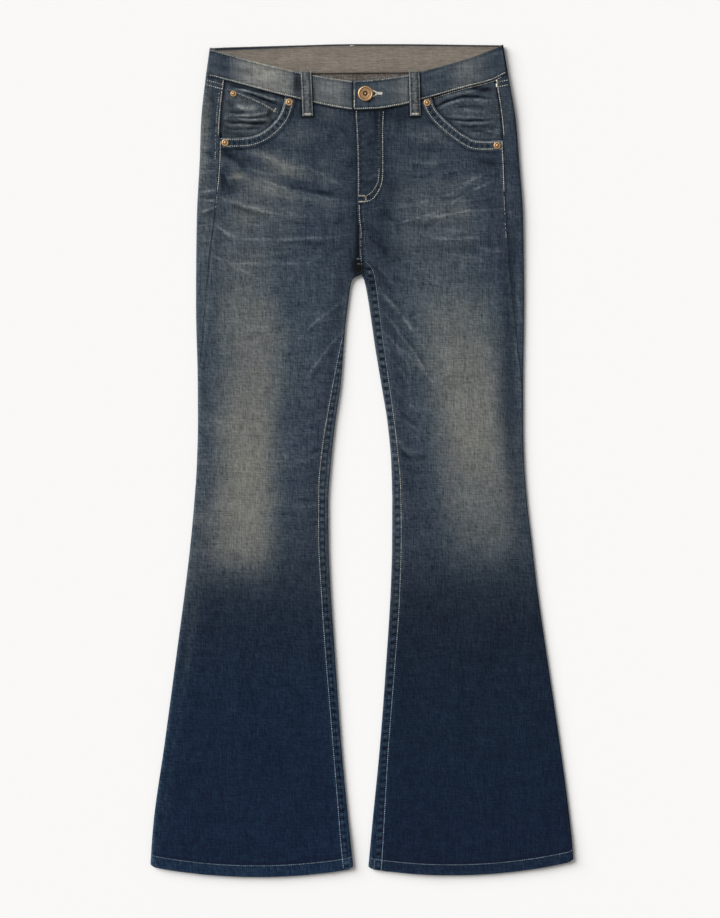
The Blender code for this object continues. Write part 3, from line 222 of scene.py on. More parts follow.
# Creases and fine worn lines: ends, bow, half width, lightness in 255ths and height in millimetres
CREASES = (
    ("x0", "y0", "x1", "y1", "bow", "width", "light", "height"),
    (-188, 421, -150, 390, 3, 4.2, -15, -0.6), (-186, 410, -162, 390, -2, 3.2, 11, 0.3),
    (-176, 424, -140, 413, 2, 3.0, -9, -0.3), (-187, 393, -167, 366, -3, 2.8, -15, -0.5),
    (-178, 384, -160, 366, -4, 2.4, -9, -0.3), (-184, 386, -164, 377, 1, 2.8, 15, 0.3),
    (-164, 416, -45, 377, -3, 3.0, 8, 0.3), (-174, 384, -28, 345, 4, 2.8, 7, 0.2),
    (-143, 420, -80, 384, 2, 2.8, 6, 0.2), (-150, 398, -60, 372, 3, 2.6, -6, -0.2),
    (-12, 302, -52, 262, 3, 5.0, -6, -0.3), (-14, 330, -60, 296, 3, 4.0, -5, -0.3),
    (22, 330, 120, 330, 12, 2.6, -4, -0.2), (66, 358, 184, 381, 12, 1.7, 9, 0.3),
    (90, 364, 182, 388, 8, 1.6, 7, 0.2), (48, 382, 173, 405, 11, 1.8, 7, 0.2), (60, 392, 150, 400, 9, 1.6, 5, 0.1),
    (96, 330, 188, 330, 8, 1.5, 7, 0.1), (110, 352, 186, 364, 8, 1.5, 8, 0.2),
    (120, 372, 178, 392, 5, 2.4, -6, -0.2), (140, 350, 186, 356, 4, 2.6, -5, -0.2),
    (70, 306, 150, 300, 8, 2.4, -4, -0.1), (-214, 441, -197, 439, 0, 1.7, 10, 0.2),
    (-217, 422, -201, 419, 0, 1.8, 11, 0.2), (-216, 400, -197, 407, 1, 1.7, 8, 0.2),
    (-214, 431, -199, 429, 0, 2.2, -7, -0.2), (-216, 411, -199, 413, 0, 2.2, -7, -0.2),
    (-215, 380, -199, 384, 0, 2.4, -7, -0.2), (-210, 498, -194, 476, 0, 4.5, -7, -0.2),
    (-178, 332, -120, 318, 6, 1.7, 7, 0.2), (-150, 372, -70, 352, 6, 1.6, 7, 0.2),
    (-160, 362, -110, 352, 4, 2.4, -4, -0.2), (-120, 344, -56, 330, 5, 1.6, 6, 0.2),
    (-176, 282, -96, 282, 7, 1.6, 6, 0.1), (-120, 440, -70, 428, 3, 2.6, 6, 0.2),
    (-110, 428, -50, 412, 4, 2.4, -5, -0.2), (-192, 354, -106, 330, 2, 2.0, 17, 0.3),
    (-186, 347, -120, 328, 2, 2.6, -9, -0.3), (-198, 317, -164, 298, 1.5, 1.7, 22, 0.3),
    (-172, 299, -16, 303, 3.5, 1.7, 17, 0.2), (-110, 292, -30, 294, 1, 3.4, -12, -0.3),
    (-196, 309, -172, 295, 1, 2.4, -10, -0.3), (-204, 275, -172, 264.5, -1.5, 1.7, 13, 0.2),
    (-178, 265.5, -126, 268, 2, 1.7, 19, 0.2), (-128, 268, -80, 265, -1, 1.7, 13, 0.2),
    (-175, 262, -146, 250, 0, 1.7, 11, 0.1), (-156, 384, -14, 347, 3, 2.0, 15, 0.3),
    (-110, 372, -14, 354, 2, 3.6, -12, -0.4), (-98, 404, -14, 361, -3, 2.2, 13, 0.3),
    (-170, 398, -100, 386, 4, 2.4, 12, 0.3), (-219, 387, -196, 390, 0, 1.7, 14, 0.2),
    (-218, 361, -196, 364.5, 0, 1.8, 17, 0.2), (-218, 356, -196, 352, 0, 2.4, -15, -0.3),
    (-216, 347.5, -193, 351, 0, 1.7, 14, 0.2), (-218, 333, -196, 344, 0, 1.8, 15, 0.2),
    (-216, 328, -200, 334, 0, 2.6, -12, -0.3), (-222, 316, -196, 312, 0, 1.8, 13, 0.2),
    (-221, 298, -202, 296, 0, 1.8, 9, 0.1), (-192, 396, -184, 352, 0, 2.6, -13, -0.3),
    (-182, 382, -172, 358, 1, 1.5, 15, 0.2), (36, 318, 115, 341, 3, 1.8, 16, 0.3),
    (115, 341, 186, 380, -3, 1.8, 15, 0.3), (78, 323, 188, 337, -4, 1.7, 18, 0.3),
    (80, 316, 150, 326, -3, 2.6, -8, -0.2), (86, 299, 170, 300.5, 1, 1.8, 14, 0.2),
    (114, 369, 168, 386, 2, 1.7, 14, 0.2), (59, 343, 135, 366, 2, 1.7, 11, 0.2),
    (134, 366, 155, 386, 1, 1.7, 11, 0.2), (90, 352, 160, 366, 3, 2.8, -8, -0.2),
    (6, 320, 34, 270, -3, 4.5, -9, -0.3), (150, 289, 194, 280.5, 2, 1.6, 14, 0.1),
    (86, 245, 116, 236, 1, 1.6, 12, 0.1), (7, 311, 38, 273, 2, 4.0, -7, -0.3), (9, 268, 50, 220, 1, 4.0, -8, -0.3),
    (14, 268, 55, 216, -4, 2.2, 6, 0.2), (30, 300, 70, 250, 3, 3.4, -5, -0.2), (2, 378, 24, 386, 2, 2.6, 10, 0.4),
    (2, 371, 22, 377, 2, 3.0, -10, -0.4), (-30, 452, -12, 436, 2, 3.0, -7, -0.3), (3, 440, 20, 446, 1, 2.4, 6, 0.3),
    (3, 424, 18, 430, 1, 2.2, -7, -0.3), (60, 440, 130, 428, 3, 3.4, 7, 0.2), (50, 420, 140, 420, 3, 2.6, -5, -0.2),
    (-150, 344, -40, 330, 8, 2.8, 7, 0.2), (-120, 322, -30, 322, 4, 2.4, -6, -0.2),
    (-176, 346, -120, 330, 6, 2.6, -7, -0.2), (-60, 360, -20, 372, 3, 2.6, -8, -0.2),
    (-213, 412, -190, 402, 3, 3.4, 13, 0.2), (-212, 434, -192, 428, 2, 3.0, 10, 0.2),
    (-214, 300, -196, 292, 2, 3.0, 8, 0.2), (40, 384, 150, 392, 7, 3.0, -7, -0.2),
    (80, 356, 172, 372, 8, 2.4, -8, -0.2), (60, 404, 128, 404, 3, 2.4, 12, 0.3),
    (30, 350, 110, 344, 5, 2.8, 7, 0.2), (50, 318, 172, 332, 9, 2.6, -7, -0.2),
    (94, 280, 182, 262, -5, 2.2, 9, 0.2), (60, 300, 76, 274, 1, 2.4, 7, 0.1), (22, 340, 60, 318, 4, 3.0, -8, -0.2),
    (150, 404, 186, 396, -2, 3.4, -14, -0.3), (160, 388, 190, 378, -2, 3.0, -10, -0.3),
    (192, 372, 214, 364, 2, 3.0, 9, 0.2), (194, 336, 216, 328, 2, 3.0, 8, 0.2),
    (20, 232, 84, 150, -4, 1.4, 23, 0.3), (24, 206, 106, 84, -4, 1.4, 23, 0.3),
    (30, 176, 70, 112, -3, 1.4, 16, 0.2), (30, 190, 90, 120, -5, 2.4, -12, -0.2),
    (40, 158, 88, 116, -3, 1.4, 17, 0.2), (46, 128, 66, 100, -1, 1.5, 20, 0.2), (52, 86, 84, 62, 1, 2.0, 10, 0.3),
    (50, 66, 84, 42, 2, 2.4, -13, -0.4), (50, 58, 86, 40, 2, 2.0, 10, 0.3), (48, 30, 68, 6, 2, 2.2, 15, 0.4),
    (48, 24, 66, 0, 2, 2.2, -13, -0.4), (50, 8, 92, 5, 3, 2.6, -15, -0.5), (50, 16, 84, 12, 2, 2.2, 9, 0.4),
    (50, -10, 84, -18, 2, 2.4, -8, -0.3), (52, -34, 80, -44, 1, 2.4, -7, -0.3), (58, 50, 78, 28, 2, 2.0, 8, 0.3),
    (-24, 216, -90, 158, 3, 1.5, 18, 0.2), (-20, 178, -78, 104, 4, 1.5, 18, 0.2),
    (-30, 156, -66, 108, 3, 2.4, -7, -0.2), (-54, 14, -92, -4, -3, 2.2, 11, 0.3),
    (-52, 20, -84, 4, -2, 2.4, -8, -0.3), (-52, -14, -78, -26, -2, 2.2, -10, -0.3),
    (-56, -58, -92, -62, -1, 2.0, 12, 0.3), (-58, -51, -84, -54, -1, 2.4, -8, -0.3),
    (-56, -84, -80, -92, -1, 2.4, -7, -0.3), (208, 265, 214, 180, 0, 1.6, 9, 0.1),
    (-220, 361, -193, 366, 0, 1.4, 14, 0.1), (-219, 335, -196, 341, 0, 1.5, 15, 0.1),
    (-212, 347, -197, 352, 0, 1.3, 10, 0.1), (-219, 316, -202, 318, 0, 1.3, 9, 0.1),
    (-192, 355, -153, 340, -2, 1.8, 10, 0.1), (-153, 341, -111, 331, 0, 1.8, 9, 0.1),
    (-131, 266, -81, 265, 0, 1.4, 9, 0.1), (-84, 264, -46, 280, 2, 1.4, 8, 0.1),
    (-177, 261, -142, 247, 0, 1.4, 8, 0.1), (-109, 298, -49, 302, 0, 1.4, 7, 0.1),
    (-186, 384, -171, 357, 0, 2.2, -14, -0.3), (7, 338, 69, 343, 0, 1.5, 8, 0.1),
    (69, 343, 111, 353, 0, 1.5, 8, 0.1), (111, 353, 170, 387, -2, 1.5, 8, 0.1), (89, 314, 182, 303, 0, 1.4, 8, 0.1),
    (148, 291, 196, 280, 0, 1.4, 9, 0.1), (3, 307, 55, 274, 0, 1.8, 6, 0.1), (55, 274, 119, 235, 0, 1.6, 7, 0.1),
    (23, 228, 55, 195, 0, 1.5, 12, 0.1), (55, 195, 88, 160, 0, 1.5, 12, 0.1), (30, 192, 68, 160, 0, 1.5, 11, 0.1),
    (128, 369, 159, 385, 0, 1.5, 5, 0.1), (159, 385, 186, 389, 0, 1.4, 7, 0.1),
    (108, 297, 176, 303, 0, 1.5, 4, 0.1), (200, 323, 213, 329, 0, 1.4, 10, 0.1),
    (-153, 417, -107, 405, 2, 2.4, 8, 0.2), (-107, 405, -65, 410, 2, 2.2, 8, 0.2),
    (-97, 480, -82, 461, 0, 1.5, 8, 0.1), (-215, 461, -196, 468, 0, 1.8, -9, -0.1),
    (-215, 439, -196, 444, 0, 1.6, 10, 0.1), (-215, 427, -196, 424, 0, 1.6, 10, 0.1),
    (-215, 449, -196, 455, 0, 1.5, 8, 0.1), (-216, 416, -197, 410, 0, 1.8, -9, -0.1),
    (-217, 401, -197, 406, 0, 1.5, 8, 0.1),
)
# Rows of stitches down the inside legs
INSEAM_STITCH = (
    ("y", "right", "left"),
    (-553, -24.6, 25.9), (-514, -28.5, 28.4), (-453, -33.3, 31.8), (-394, -38.1, 35.2), (-321, -44.1, 40.8),
    (-261, -49.0, 45.5), (-189, -53.9, 50.5), (-98, -58.4, 53.1), (-36, -58.0, 52.1), (15, -53.6, 47.9),
    (67, -45.4, 41.7), (114, -36.9, 35.1), (152, -29.3, 29.9), (168, -25.7, 27.5), (199, -21.0, 23.8),
    (242, -14.0, 18.1), (257, -8.0, 14.3), (270, -4.0, 2.7),
)
INSEAM_LUMPS = 9.5
HEM_STITCH = {RIGHT: 15.3, LEFT: 14.3}
MOUTH_STITCHES = (2.4, 11.2)
FLY_OUTER = (
    (28.8, 470), (27.9, 446), (28.1, 403), (27.7, 381.6), (25, 368.7), (18.5, 356.9), (12.2, 351), (4.6, 348.6),
    (-5.4, 348.3),
)
FLY_INNER = ((23.8, 470), (22.9, 446), (23.2, 403), (22.6, 381.6), (20.6, 373), (14.2, 362.4), (6.2, 356.3))
CROTCH_STITCH = ((-3.6, 344), (-3.4, 334.7), (-2.8, 322.7), (-1.2, 310.5), (-1.4, 292.4), (-1.6, 280.4), (-0.6, 268))
# Folds pressed into the pocket facings and the coin pocket; their ridges lighter, partly worn and partly painted
# highlight, and painted shade in their hollows and over the coin pocket's edge
RIGHT_POCKET = (
    ("x0", "y0", "x1", "y1", "bow", "width", "light", "height"),
    (-174, 464.6, -124, 467.6, 1.5, 1.7, 34, 0.9), (-187, 459.5, -170, 466, -1, 1.7, 14, 0.5),
    (-176, 462.4, -126, 463.6, 1.5, 1.2, -20, -0.5), (-170, 460.2, -122, 459.4, 1.5, 1.5, 31, 0.9),
    (-184, 456.0, -120, 456.2, 2, 2.1, -34, -1.0), (-186, 452.6, -142, 452.2, 1, 2.0, 17, 0.7),
    (-184, 448.2, -134, 447.6, 1.5, 1.9, -20, -0.6), (-170, 444.6, -138, 444.4, 1, 1.9, 12, 0.6),
    (-182, 440.6, -150, 439.6, 1, 2.0, -16, -0.4), (-184, 470, -150, 470.4, 1, 2.2, -17, -0.4),
    (-172, 478, -138, 474, 2, 3.2, 18, 0.5), (-184, 484, -168, 478, 2, 2.4, -9, -0.3),
    (-124, 474, -117, 452, 2, 3.0, -22, -0.6), (-174, 501.5, -106, 482.5, -1, 1.6, 34, 0.7),
    (-160, 495.0, -112, 479.0, -1, 1.5, -42, -0.9), (-172, 478, -134, 475, 2, 3.6, 20, 0.3),
    (-132, 476, -118, 471, 0, 3.2, 14, 0.2), (-182, 506.0, -122, 493.0, 0, 1.8, -22, -0.4),
    (-112, 484, -106, 470, 1, 2.2, -14, -0.3),
)
LEFT_POCKET = (
    ("x0", "y0", "x1", "y1", "bow", "width", "light", "height"),
    (96, 475.4, 176, 487, -8, 1.7, -40, -1.0), (98, 471.0, 178, 482, -8, 2.0, 24, 0.9),
    (104, 485.0, 172, 498, -4, 2.0, 15, 0.6), (140, 504.0, 180, 498.5, 1, 3.0, -30, -0.5),
    (126, 475, 172, 474, -2, 1.6, -14, -0.5), (118, 470, 172, 469, -2, 3.0, 13, 0.6),
    (112, 461.4, 180, 459.6, 2.6, 1.5, -34, -1.0), (114, 464.6, 178, 463, 2.6, 1.8, 16, 0.8),
    (118, 457.6, 182, 455.8, 2.6, 1.8, 18, 0.8), (126, 452.4, 182, 449.4, 1, 2.0, -17, -0.5),
    (148, 438.6, 184, 442.4, -1, 1.8, 15, 0.6), (140, 446, 184, 438, -1, 1.7, -14, -0.5),
    (150, 478, 186, 468, 2, 2.6, -8, -0.3),
)
BAND_TONES = (
    ("x", "light"),
    (-212, 10), (-186, 4), (-162, 44), (-135, 62), (-105, 52), (-86, 26), (-62, 32), (-42, 40), (-16, 18), (-4, 2),
    (28, 10), (60, 32), (84, 0), (105, 4), (143, 32), (170, 8), (192, -4),
)
BAND_CREASES = (
    ("x0", "y0", "x1", "y1", "bow", "width", "light", "height"),
    (-172, 529, -134, 521, 1, 3.0, -26, -0.4), (-204, 535, -178, 525, 1, 4.5, -20, -0.3),
    (-198, 546, -172, 538, 1, 3.0, -10, -0.2), (-150, 527, -96, 512, 3, 5.0, 8, 0.4),
    (-134, 516, -96, 503, 2, 2.4, -9, -0.3), (-58, 506, -20, 489, 3, 4.0, 8, 0.3),
    (-62, 496, -26, 486, 2, 2.6, -8, -0.3), (86, 518, 140, 533, -3, 4.0, 8, 0.4),
    (88, 504, 130, 514, 3, 3.0, -10, -0.3), (110, 524, 160, 540, -2, 2.4, -8, -0.3),
    (150, 520, 186, 533, -2, 3.0, -10, -0.3), (30, 508, 62, 512, 2, 3.0, 8, 0.2),
    (34, 488, 60, 490, -2, 3.0, -8, -0.2), (-168, 534, -110, 522, 2, 1.8, 14, 0.3),
    (-160, 526, -104, 512, 2, 1.6, 12, 0.2), (-150, 519, -100, 506, 1, 1.6, 10, 0.2),
    (-56, 512, -24, 503, 1, 1.6, 10, 0.2), (96, 522, 150, 538, -1, 1.7, 12, 0.2),
    (90, 508, 140, 522, -1, 1.6, 10, 0.2), (30, 498, 62, 502, 0, 1.7, 9, 0.2),
)
# Metal turned about its axis: each point has a radius, a height and how rubbed it is
TURNED_STEPS = 56
BUTTON_TURNING = (
    (2.3, 0.2, 0.2), (2.4, 2.0, 0.1), (8.7, 2.0, 0.2), (9.7, 2.4, 0.5), (10.2, 3.2, 0.8), (10.25, 3.9, 0.9),
    (9.9, 4.7, 1.0), (9.3, 5.25, 1.0), (8.7, 5.4, 1.0), (8.1, 5.25, 0.75), (7.7, 4.8, 0.15), (7.4, 4.45, 0.1),
    (7.0, 4.5, 0.45), (6.2, 4.6, 0.7), (5.2, 4.55, 0.65), (4.3, 4.45, 0.6), (3.8, 4.5, 0.75), (3.45, 4.35, 0.6),
    (3.2, 3.6, 0.05), (3.0, 3.2, 0.0), (2.0, 3.15, 0.0), (1.5, 3.3, 0.1), (1.25, 4.3, 0.5), (0.9, 4.75, 1.0),
    (0.4, 4.9, 1.0), (0.05, 4.92, 1.0),
)
RIVET_TURNING = (
    (4.3, 0.0, 0.2), (4.7, 0.1, 0.4), (4.85, 0.45, 0.8), (4.65, 0.85, 1.0), (4.2, 1.08, 1.0), (3.5, 1.12, 0.75),
    (2.9, 1.0, 0.4), (2.3, 0.85, 0.15), (1.9, 0.95, 0.3), (1.55, 1.35, 0.7), (1.1, 1.7, 1.0), (0.55, 1.86, 1.0),
    (0.05, 1.9, 1.0),
)
RIVET_SCALES = (
    ("rivet_pocket_right_upper", 1.0), ("rivet_pocket_right_lower", 0.98), ("rivet_coin", 0.86),
    ("rivet_pocket_left_upper", 0.98), ("rivet_pocket_left_lower", 1.0),
)
# The side seam beside a pocket: gap from the seam, lowest and highest place, steps, tone and what else differs
SIDE_STITCHES = {
    RIGHT: (
        (-1.6, 438, 512, 60, 1.06, {"pitch": 2.45}), (1.6, 362, 430, 60, 1.06, {"pitch": 2.45}),
        (1.6, 340, 362, 40, 0.85, {"gaps": 0.35}), (-4.9, 405, 498, 40, 0.86, {"gaps": 0.12}),
    ),
    LEFT: (
        (-1.6, 438, 512, 60, 1.06, {"pitch": 2.45}), (1.6, 362, 430, 60, 1.06, {"pitch": 2.45}),
        (1.6, 300, 362, 40, 0.85, {"gaps": 0.3}),
    ),
}
# Rings of a stitch: share of its length, share of its radius, and lift off the cloth
STITCH_RINGS = ((0.0, 0.5, -0.28), (0.22, 1.0, 0.10), (0.78, 1.0, 0.10), (1.0, 0.5, -0.28))
STITCH_SIDES, STITCH_STEP = 6, 2.6
STITCH_POINTS = len(STITCH_RINGS) * STITCH_SIDES
STITCH_ROUND = np.array([1.0, 0.85])[:, None] * [
    turn(np.arange(STITCH_SIDES) * 2 * math.pi / STITCH_SIDES) for turn in (np.cos, np.sin)
]
STITCH_FACES = [
    (ring + a, ring + (a + 1) % STITCH_SIDES, ring + (a + 1) % STITCH_SIDES + STITCH_SIDES, ring + a + STITCH_SIDES)
    for ring in range(0, STITCH_POINTS - STITCH_SIDES, STITCH_SIDES) for a in range(STITCH_SIDES)
] + [tuple(range(STITCH_SIDES))[::-1], tuple(range(STITCH_POINTS - STITCH_SIDES, STITCH_POINTS))]
# A distance at which no edge has any effect
FAR = 99.0
# The roped part of the inseam: how far beyond its stitches, and its half width
ROPED_AT, ROPED_WIDTH = 4.8, 3.2
# How far below the fork the inseams start to move onto the top of the fold, and the lowest y of a pocket mouth
FORK_RISE, MOUTH_LOWEST = 16, 400
# Points this far over the underside are on the upper face, and points over this z on the front of the waistband
ON_TOP, BAND_FRONT_Z = 2.0, 4.4
# Heights under and over everything, for finding the cloth
UNDER_ALL, OVER_ALL = -40.0, 60.0
CLOTH_SHARP, METAL_SHARP = math.radians(55), math.radians(60)
# The least linear light that the cloth's dye, with its painted light and shade, gives back
DARKEST = 0.0008
# Half the floor's width in metres and its height in millimetres, the key light's place and breadth, and the camera
FLOOR_HALF, FLOOR_Z = 40, -0.3
KEY_FROM, KEY_WIDTH = (-0.72, 0.47, 0.51), math.radians(46)
CAMERA_XY, SENSOR = (-2.7 * MM, 1.9 * MM), 36

# ---- numbers


def smooth(table, name, at):
    """Values of a table's named column between its rows, on a curve that never overshoots them."""
    column = table[0].index(name)
    places = np.array([row[0] for row in table[1:]], float)
    values = np.array([row[column] for row in table[1:]], float)
    slopes = np.diff(values) / np.diff(places)
    tangents = np.zeros_like(values)
    tangents[0], tangents[-1] = slopes[0], slopes[-1]
    turns = slopes[:-1] * slopes[1:] > 0
    total = np.where(turns, slopes[:-1] + slopes[1:], 1.0)
    tangents[1:-1] = np.where(turns, 2 * slopes[:-1] * slopes[1:] / total, 0.0)
    at = np.clip(np.asarray(at, float), places[0], places[-1])
    k = np.clip(np.searchsorted(places, at, side="right") - 1, 0, len(places) - 2)
    step = places[k + 1] - places[k]
    t = (at - places[k]) / step
    return (
        values[k] * (1 + 2 * t) * (1 - t) ** 2
        + step * tangents[k] * t * (1 - t) ** 2
        + values[k + 1] * t * t * (3 - 2 * t)
        + step * tangents[k + 1] * t * t * (t - 1)
    )


def lerp(a, b, t):
    return a + (b - a) * t


def ramp(low, high, value):
    """0 below low, 1 above high, with soft ends."""
    t = np.clip((value - low) / (high - low), 0, 1)
    return t * t * (3 - 2 * t)


def bell(distance, width, power=2):
    """1 at no distance, falling softly to nothing past the width; a higher power gives a flatter top."""
    return np.exp(-((distance / width) ** power))


def stripes(distance, *rows):
    """Soft stripes side by side: each row gives its place along the distance, its half width and its strength."""
    return sum(strength * bell(distance - place, width) for place, width, strength in rows)


def lattice(i, j, seed):
    """A repeatable value from 0 to 1 for each whole-numbered place."""
    n = np.sin(i * 127.1 + j * 311.7 + seed * 74.7) * 43758.5453
    return n - np.floor(n)


def noise(u, v, seed):
    """Soft noise from -1 to 1, one lump to each unit."""
    u, v = np.broadcast_arrays(np.asarray(u, float), np.asarray(v, float))
    i, j = np.floor(u), np.floor(v)
    s, t = ramp(0, 1, u - i), ramp(0, 1, v - j)
    low = lerp(lattice(i, j, seed), lattice(i + 1, j, seed), s)
    high = lerp(lattice(i, j + 1, seed), lattice(i + 1, j + 1, seed), s)
    return lerp(low, high, t) * 2 - 1


def outer_x(side, y):
    return smooth(OUTER, SIDE_NAMES[side], y)


def inner_x(side, y):
    return smooth(INNER, SIDE_NAMES[side], y)


def seam_inset(kind, side, y):
    return smooth(SEAMS, kind + "_" + SIDE_NAMES[side], y)


def levels(y):
    """Heights of the shell's underside and of its upper face."""
    underside = smooth(LEVELS, "underside", y)
    return underside, underside + 2 * DENIM + smooth(LEVELS, "room", y)


def hem_y(side, x):
    at_inner, at_middle, at_outer = HEM_LINE[side]
    inner, outer = inner_x(side, at_inner), outer_x(side, at_outer)
    t = np.clip((x - inner) / (outer - inner), 0, 1)
    bow = at_middle - (at_inner + at_outer) / 2
    corner = 1 - np.clip(np.minimum(t, 1 - t) * np.abs(outer - inner) / HEM_CORNER[0], 0, 1)
    return lerp(at_inner, at_outer, t) + bow * 4 * t * (1 - t) + HEM_CORNER[1] * corner ** 2


def patches(table, x, y):
    """The sum of a table's soft oval places at x, y."""
    total = np.zeros(np.broadcast(x, y).shape)
    for px, py, half_length, half_width, degrees, height in table[1:]:
        c, s = math.cos(math.radians(degrees)), math.sin(math.radians(degrees))
        along = ((x - px) * c + (y - py) * s) / half_length
        across = ((y - py) * c - (x - px) * s) / half_width
        total = total + height * np.exp(-along * along - across * across)
    return total


def creases(table, x, y):
    """The sums of the lightness and of the height of a table's bowed lines at x, y."""
    light, height = np.zeros(np.broadcast(x, y).shape), np.zeros(np.broadcast(x, y).shape)
    for number, (x0, y0, x1, y1, bow, width, bright, rise) in enumerate(table[1:]):
        length = math.hypot(x1 - x0, y1 - y0)
        dx, dy = (x1 - x0) / length, (y1 - y0) / length
        along = ((x - x0) * dx + (y - y0) * dy) / length
        across = (y - y0) * dx - (x - x0) * dy + bow * 4 * along * (1 - along)
        walk = along * length
        across = across + width * (0.30 * np.sin(walk / 9 + 2.1 * number) + 0.16 * np.sin(walk / 3.7 + number))
        shape = bell(across, width) * ramp(-0.08, 0.28, along) * (1 - ramp(0.66, 1.08, along))
        shape = shape * (0.86 + 0.22 * np.sin(walk / 6.1 + 3.3 * number) + 0.12 * np.sin(walk / 2.3 + number))
        light, height = light + bright * shape, height + rise * shape
    return light, height


def fold_gap(x, y):
    """Distance from x to the nearest fold of the leg it is on."""
    gap = np.minimum(np.abs(outer_x(RIGHT, y) - x), np.abs(outer_x(LEFT, y) - x))
    inner = np.minimum(np.abs(inner_x(RIGHT, y) - x), np.abs(inner_x(LEFT, y) - x))
    return np.where(y < FORK_Y, np.minimum(gap, inner), gap)


def relief(x, y):
    """Height that the swells, the fly, the creases and the puckered seams add to the upper face."""
    to_fold = fold_gap(x, y)
    total = patches(SWELLS, x, y) * ramp(0, SWELL_MARGIN, to_fold) * (1 - ramp(*SWELL_TOP_Y, y))
    lift = 1.4 * creases(CREASES, x, y)[1] + 0.45 * noise(x / 24, y / 42, 21) + 0.2 * noise(x / 9, y / 15, 22)
    total = total + settings().crease * lift * ramp(0, 14, to_fold)
    for side in (RIGHT, LEFT):
        past_stitch = (x - smooth(INSEAM_STITCH, SIDE_NAMES[side], y)) * side
        lumps = rope(y, 31 + side, INSEAM_LUMPS)
        total = total - 0.4 * lumps * bell(past_stitch + ROPED_AT, ROPED_WIDTH, 4) * ramp(0, 4, to_fold)
    from_edge = x - smooth(CENTRE, "front", y)
    in_fly = 1 - ramp(FLY_WIDTH, FLY_WIDTH + FLY_FOOT, from_edge)
    in_fly = in_fly * ramp(FLY_BOTTOM_Y - FLY_FOOT, FLY_BOTTOM_Y + FLY_FOOT, y)
    return total + np.where(from_edge >= 0, FLY_RISE * in_fly, 0.0)


def spline(points, steps):
    """A smooth line through points, with the given number of steps between each two."""
    line, last = [], len(points) - 1
    for k in range(last):
        before, a, b, after = (np.array(points[max(0, min(last, k + o))], float) for o in (-1, 0, 1, 2))
        for t in np.arange(steps) / steps:
            line.append(
                0.5 * (2 * a + (b - before) * t + (2 * before - 5 * a + 4 * b - after) * t * t
                       + (3 * a - before - 3 * b + after) * t ** 3)
            )
    return np.array(line + [np.array(points[-1], float)])


def along(line, fraction):
    """Points at fractions of a line's length."""
    lengths = np.concatenate([[0], np.cumsum(np.linalg.norm(np.diff(line, axis=0), axis=1))])
    at = np.asarray(fraction) * lengths[-1]
    return np.stack([np.interp(at, lengths, line[:, c]) for c in (0, 1)], axis=-1)


def nearest(line, x, y, side=1):
    """Distance to a line, positive on one side of it, the nearest point on it, and its place along it."""
    best = np.full(x.shape, np.inf)
    signed, px, py, place = np.zeros(x.shape), np.zeros(x.shape), np.zeros(x.shape), np.zeros(x.shape)
    start = 0.0
    for a, b in zip(line, line[1:]):
        ab = b - a
        length = np.hypot(*ab)
        t = np.clip(((x - a[0]) * ab[0] + (y - a[1]) * ab[1]) / length ** 2, 0, 1)
        qx, qy = a[0] + ab[0] * t, a[1] + ab[1] * t
        gap = np.hypot(x - qx, y - qy)
        closer = gap < best
        beyond = side * ((x - a[0]) * ab[1] - (y - a[1]) * ab[0]) < 0
        signed = np.where(closer, np.where(beyond, gap, -gap), signed)
        px, py = np.where(closer, qx, px), np.where(closer, qy, py)
        place = np.where(closer, start + t * length, place)
        best = np.minimum(best, gap)
        start += length
    return signed, px, py, place


# ---- the leg wall


def half_height(y):
    """Half the height of the shell, which is the radius of its folds."""
    low, high = levels(y)
    return (high - low) / 2


def edge_shape(edge, side, y):
    """Of an outer or inner fold: its x, the way it faces and how wide it turns."""
    radius = half_height(y)
    if edge == "outer":
        return outer_x(side, y), side, radius
    return inner_x(side, y), -side, np.maximum(FORK_FOLD, radius * ramp(0, FORK_FADE, FORK_Y - y))


def seam_place(edge, side, y):
    """How far a seam lies from the rim of its fold, along the surface."""
    radius, width = half_height(y), edge_shape(edge, side, y)[2]
    inset = seam_inset("side" if edge == "outer" else "inseam", side, y)
    quarter = radius * math.pi / 2
    place = np.where(inset < width, np.arccos(1 - np.minimum(inset, width) / width) * radius, quarter + inset - width)
    if edge == "inner":
        place = np.where(inset < width, lerp(place, quarter, ramp(FORK_Y - FORK_RISE, FORK_Y, y)), place)
    return place


def wall(edge, side, y, place, depth):
    """A point of a leg's wall, place being its distance along the surface from the fold's rim, up and over."""
    low, high = levels(y)
    radius = (high - low) / 2
    edge_x, outward, width = edge_shape(edge, side, y)
    angle = np.clip(place / radius, -math.pi / 2, math.pi / 2)
    past = np.maximum(np.abs(place) - radius * math.pi / 2, 0)
    x = edge_x - outward * (width + past) + outward * (width - depth) * np.cos(angle)
    z = low + radius + (radius - depth) * np.sin(angle)
    lift = np.where(place > 0, relief(x, y) * np.minimum(past / 8, 1), 0)
    return np.stack(np.broadcast_arrays(x, y, z + lift), axis=-1)


def flat(x, y, depth, over):
    """A point of the flat of a leg, over it or under it."""
    low, high = levels(y)
    return np.stack(np.broadcast_arrays(x, y, high - depth + relief(x, y) if over else low + depth), axis=-1)


def rope(place, seed, apart=6.8):
    """The puckering along a felled seam, from -1 to 1: short uneven lumps so many millimetres apart."""
    wave = np.sin(2 * math.pi * place / apart + 2.6 * noise(place / (3 * apart), 0.5, seed))
    return np.tanh(1.6 * wave) * (0.75 + 0.25 * noise(place / 13, 0.5, seed + 5))


def side_seam_x(side, y, gap):
    return outer_x(side, y) - side * (seam_inset("side", side, y) + gap)


def from_mouth(side, x, y):
    """Distance from a pocket's mouth, over its facing."""
    return np.maximum(nearest(spline(MOUTH[side], 4), x, y, side)[0], 0)


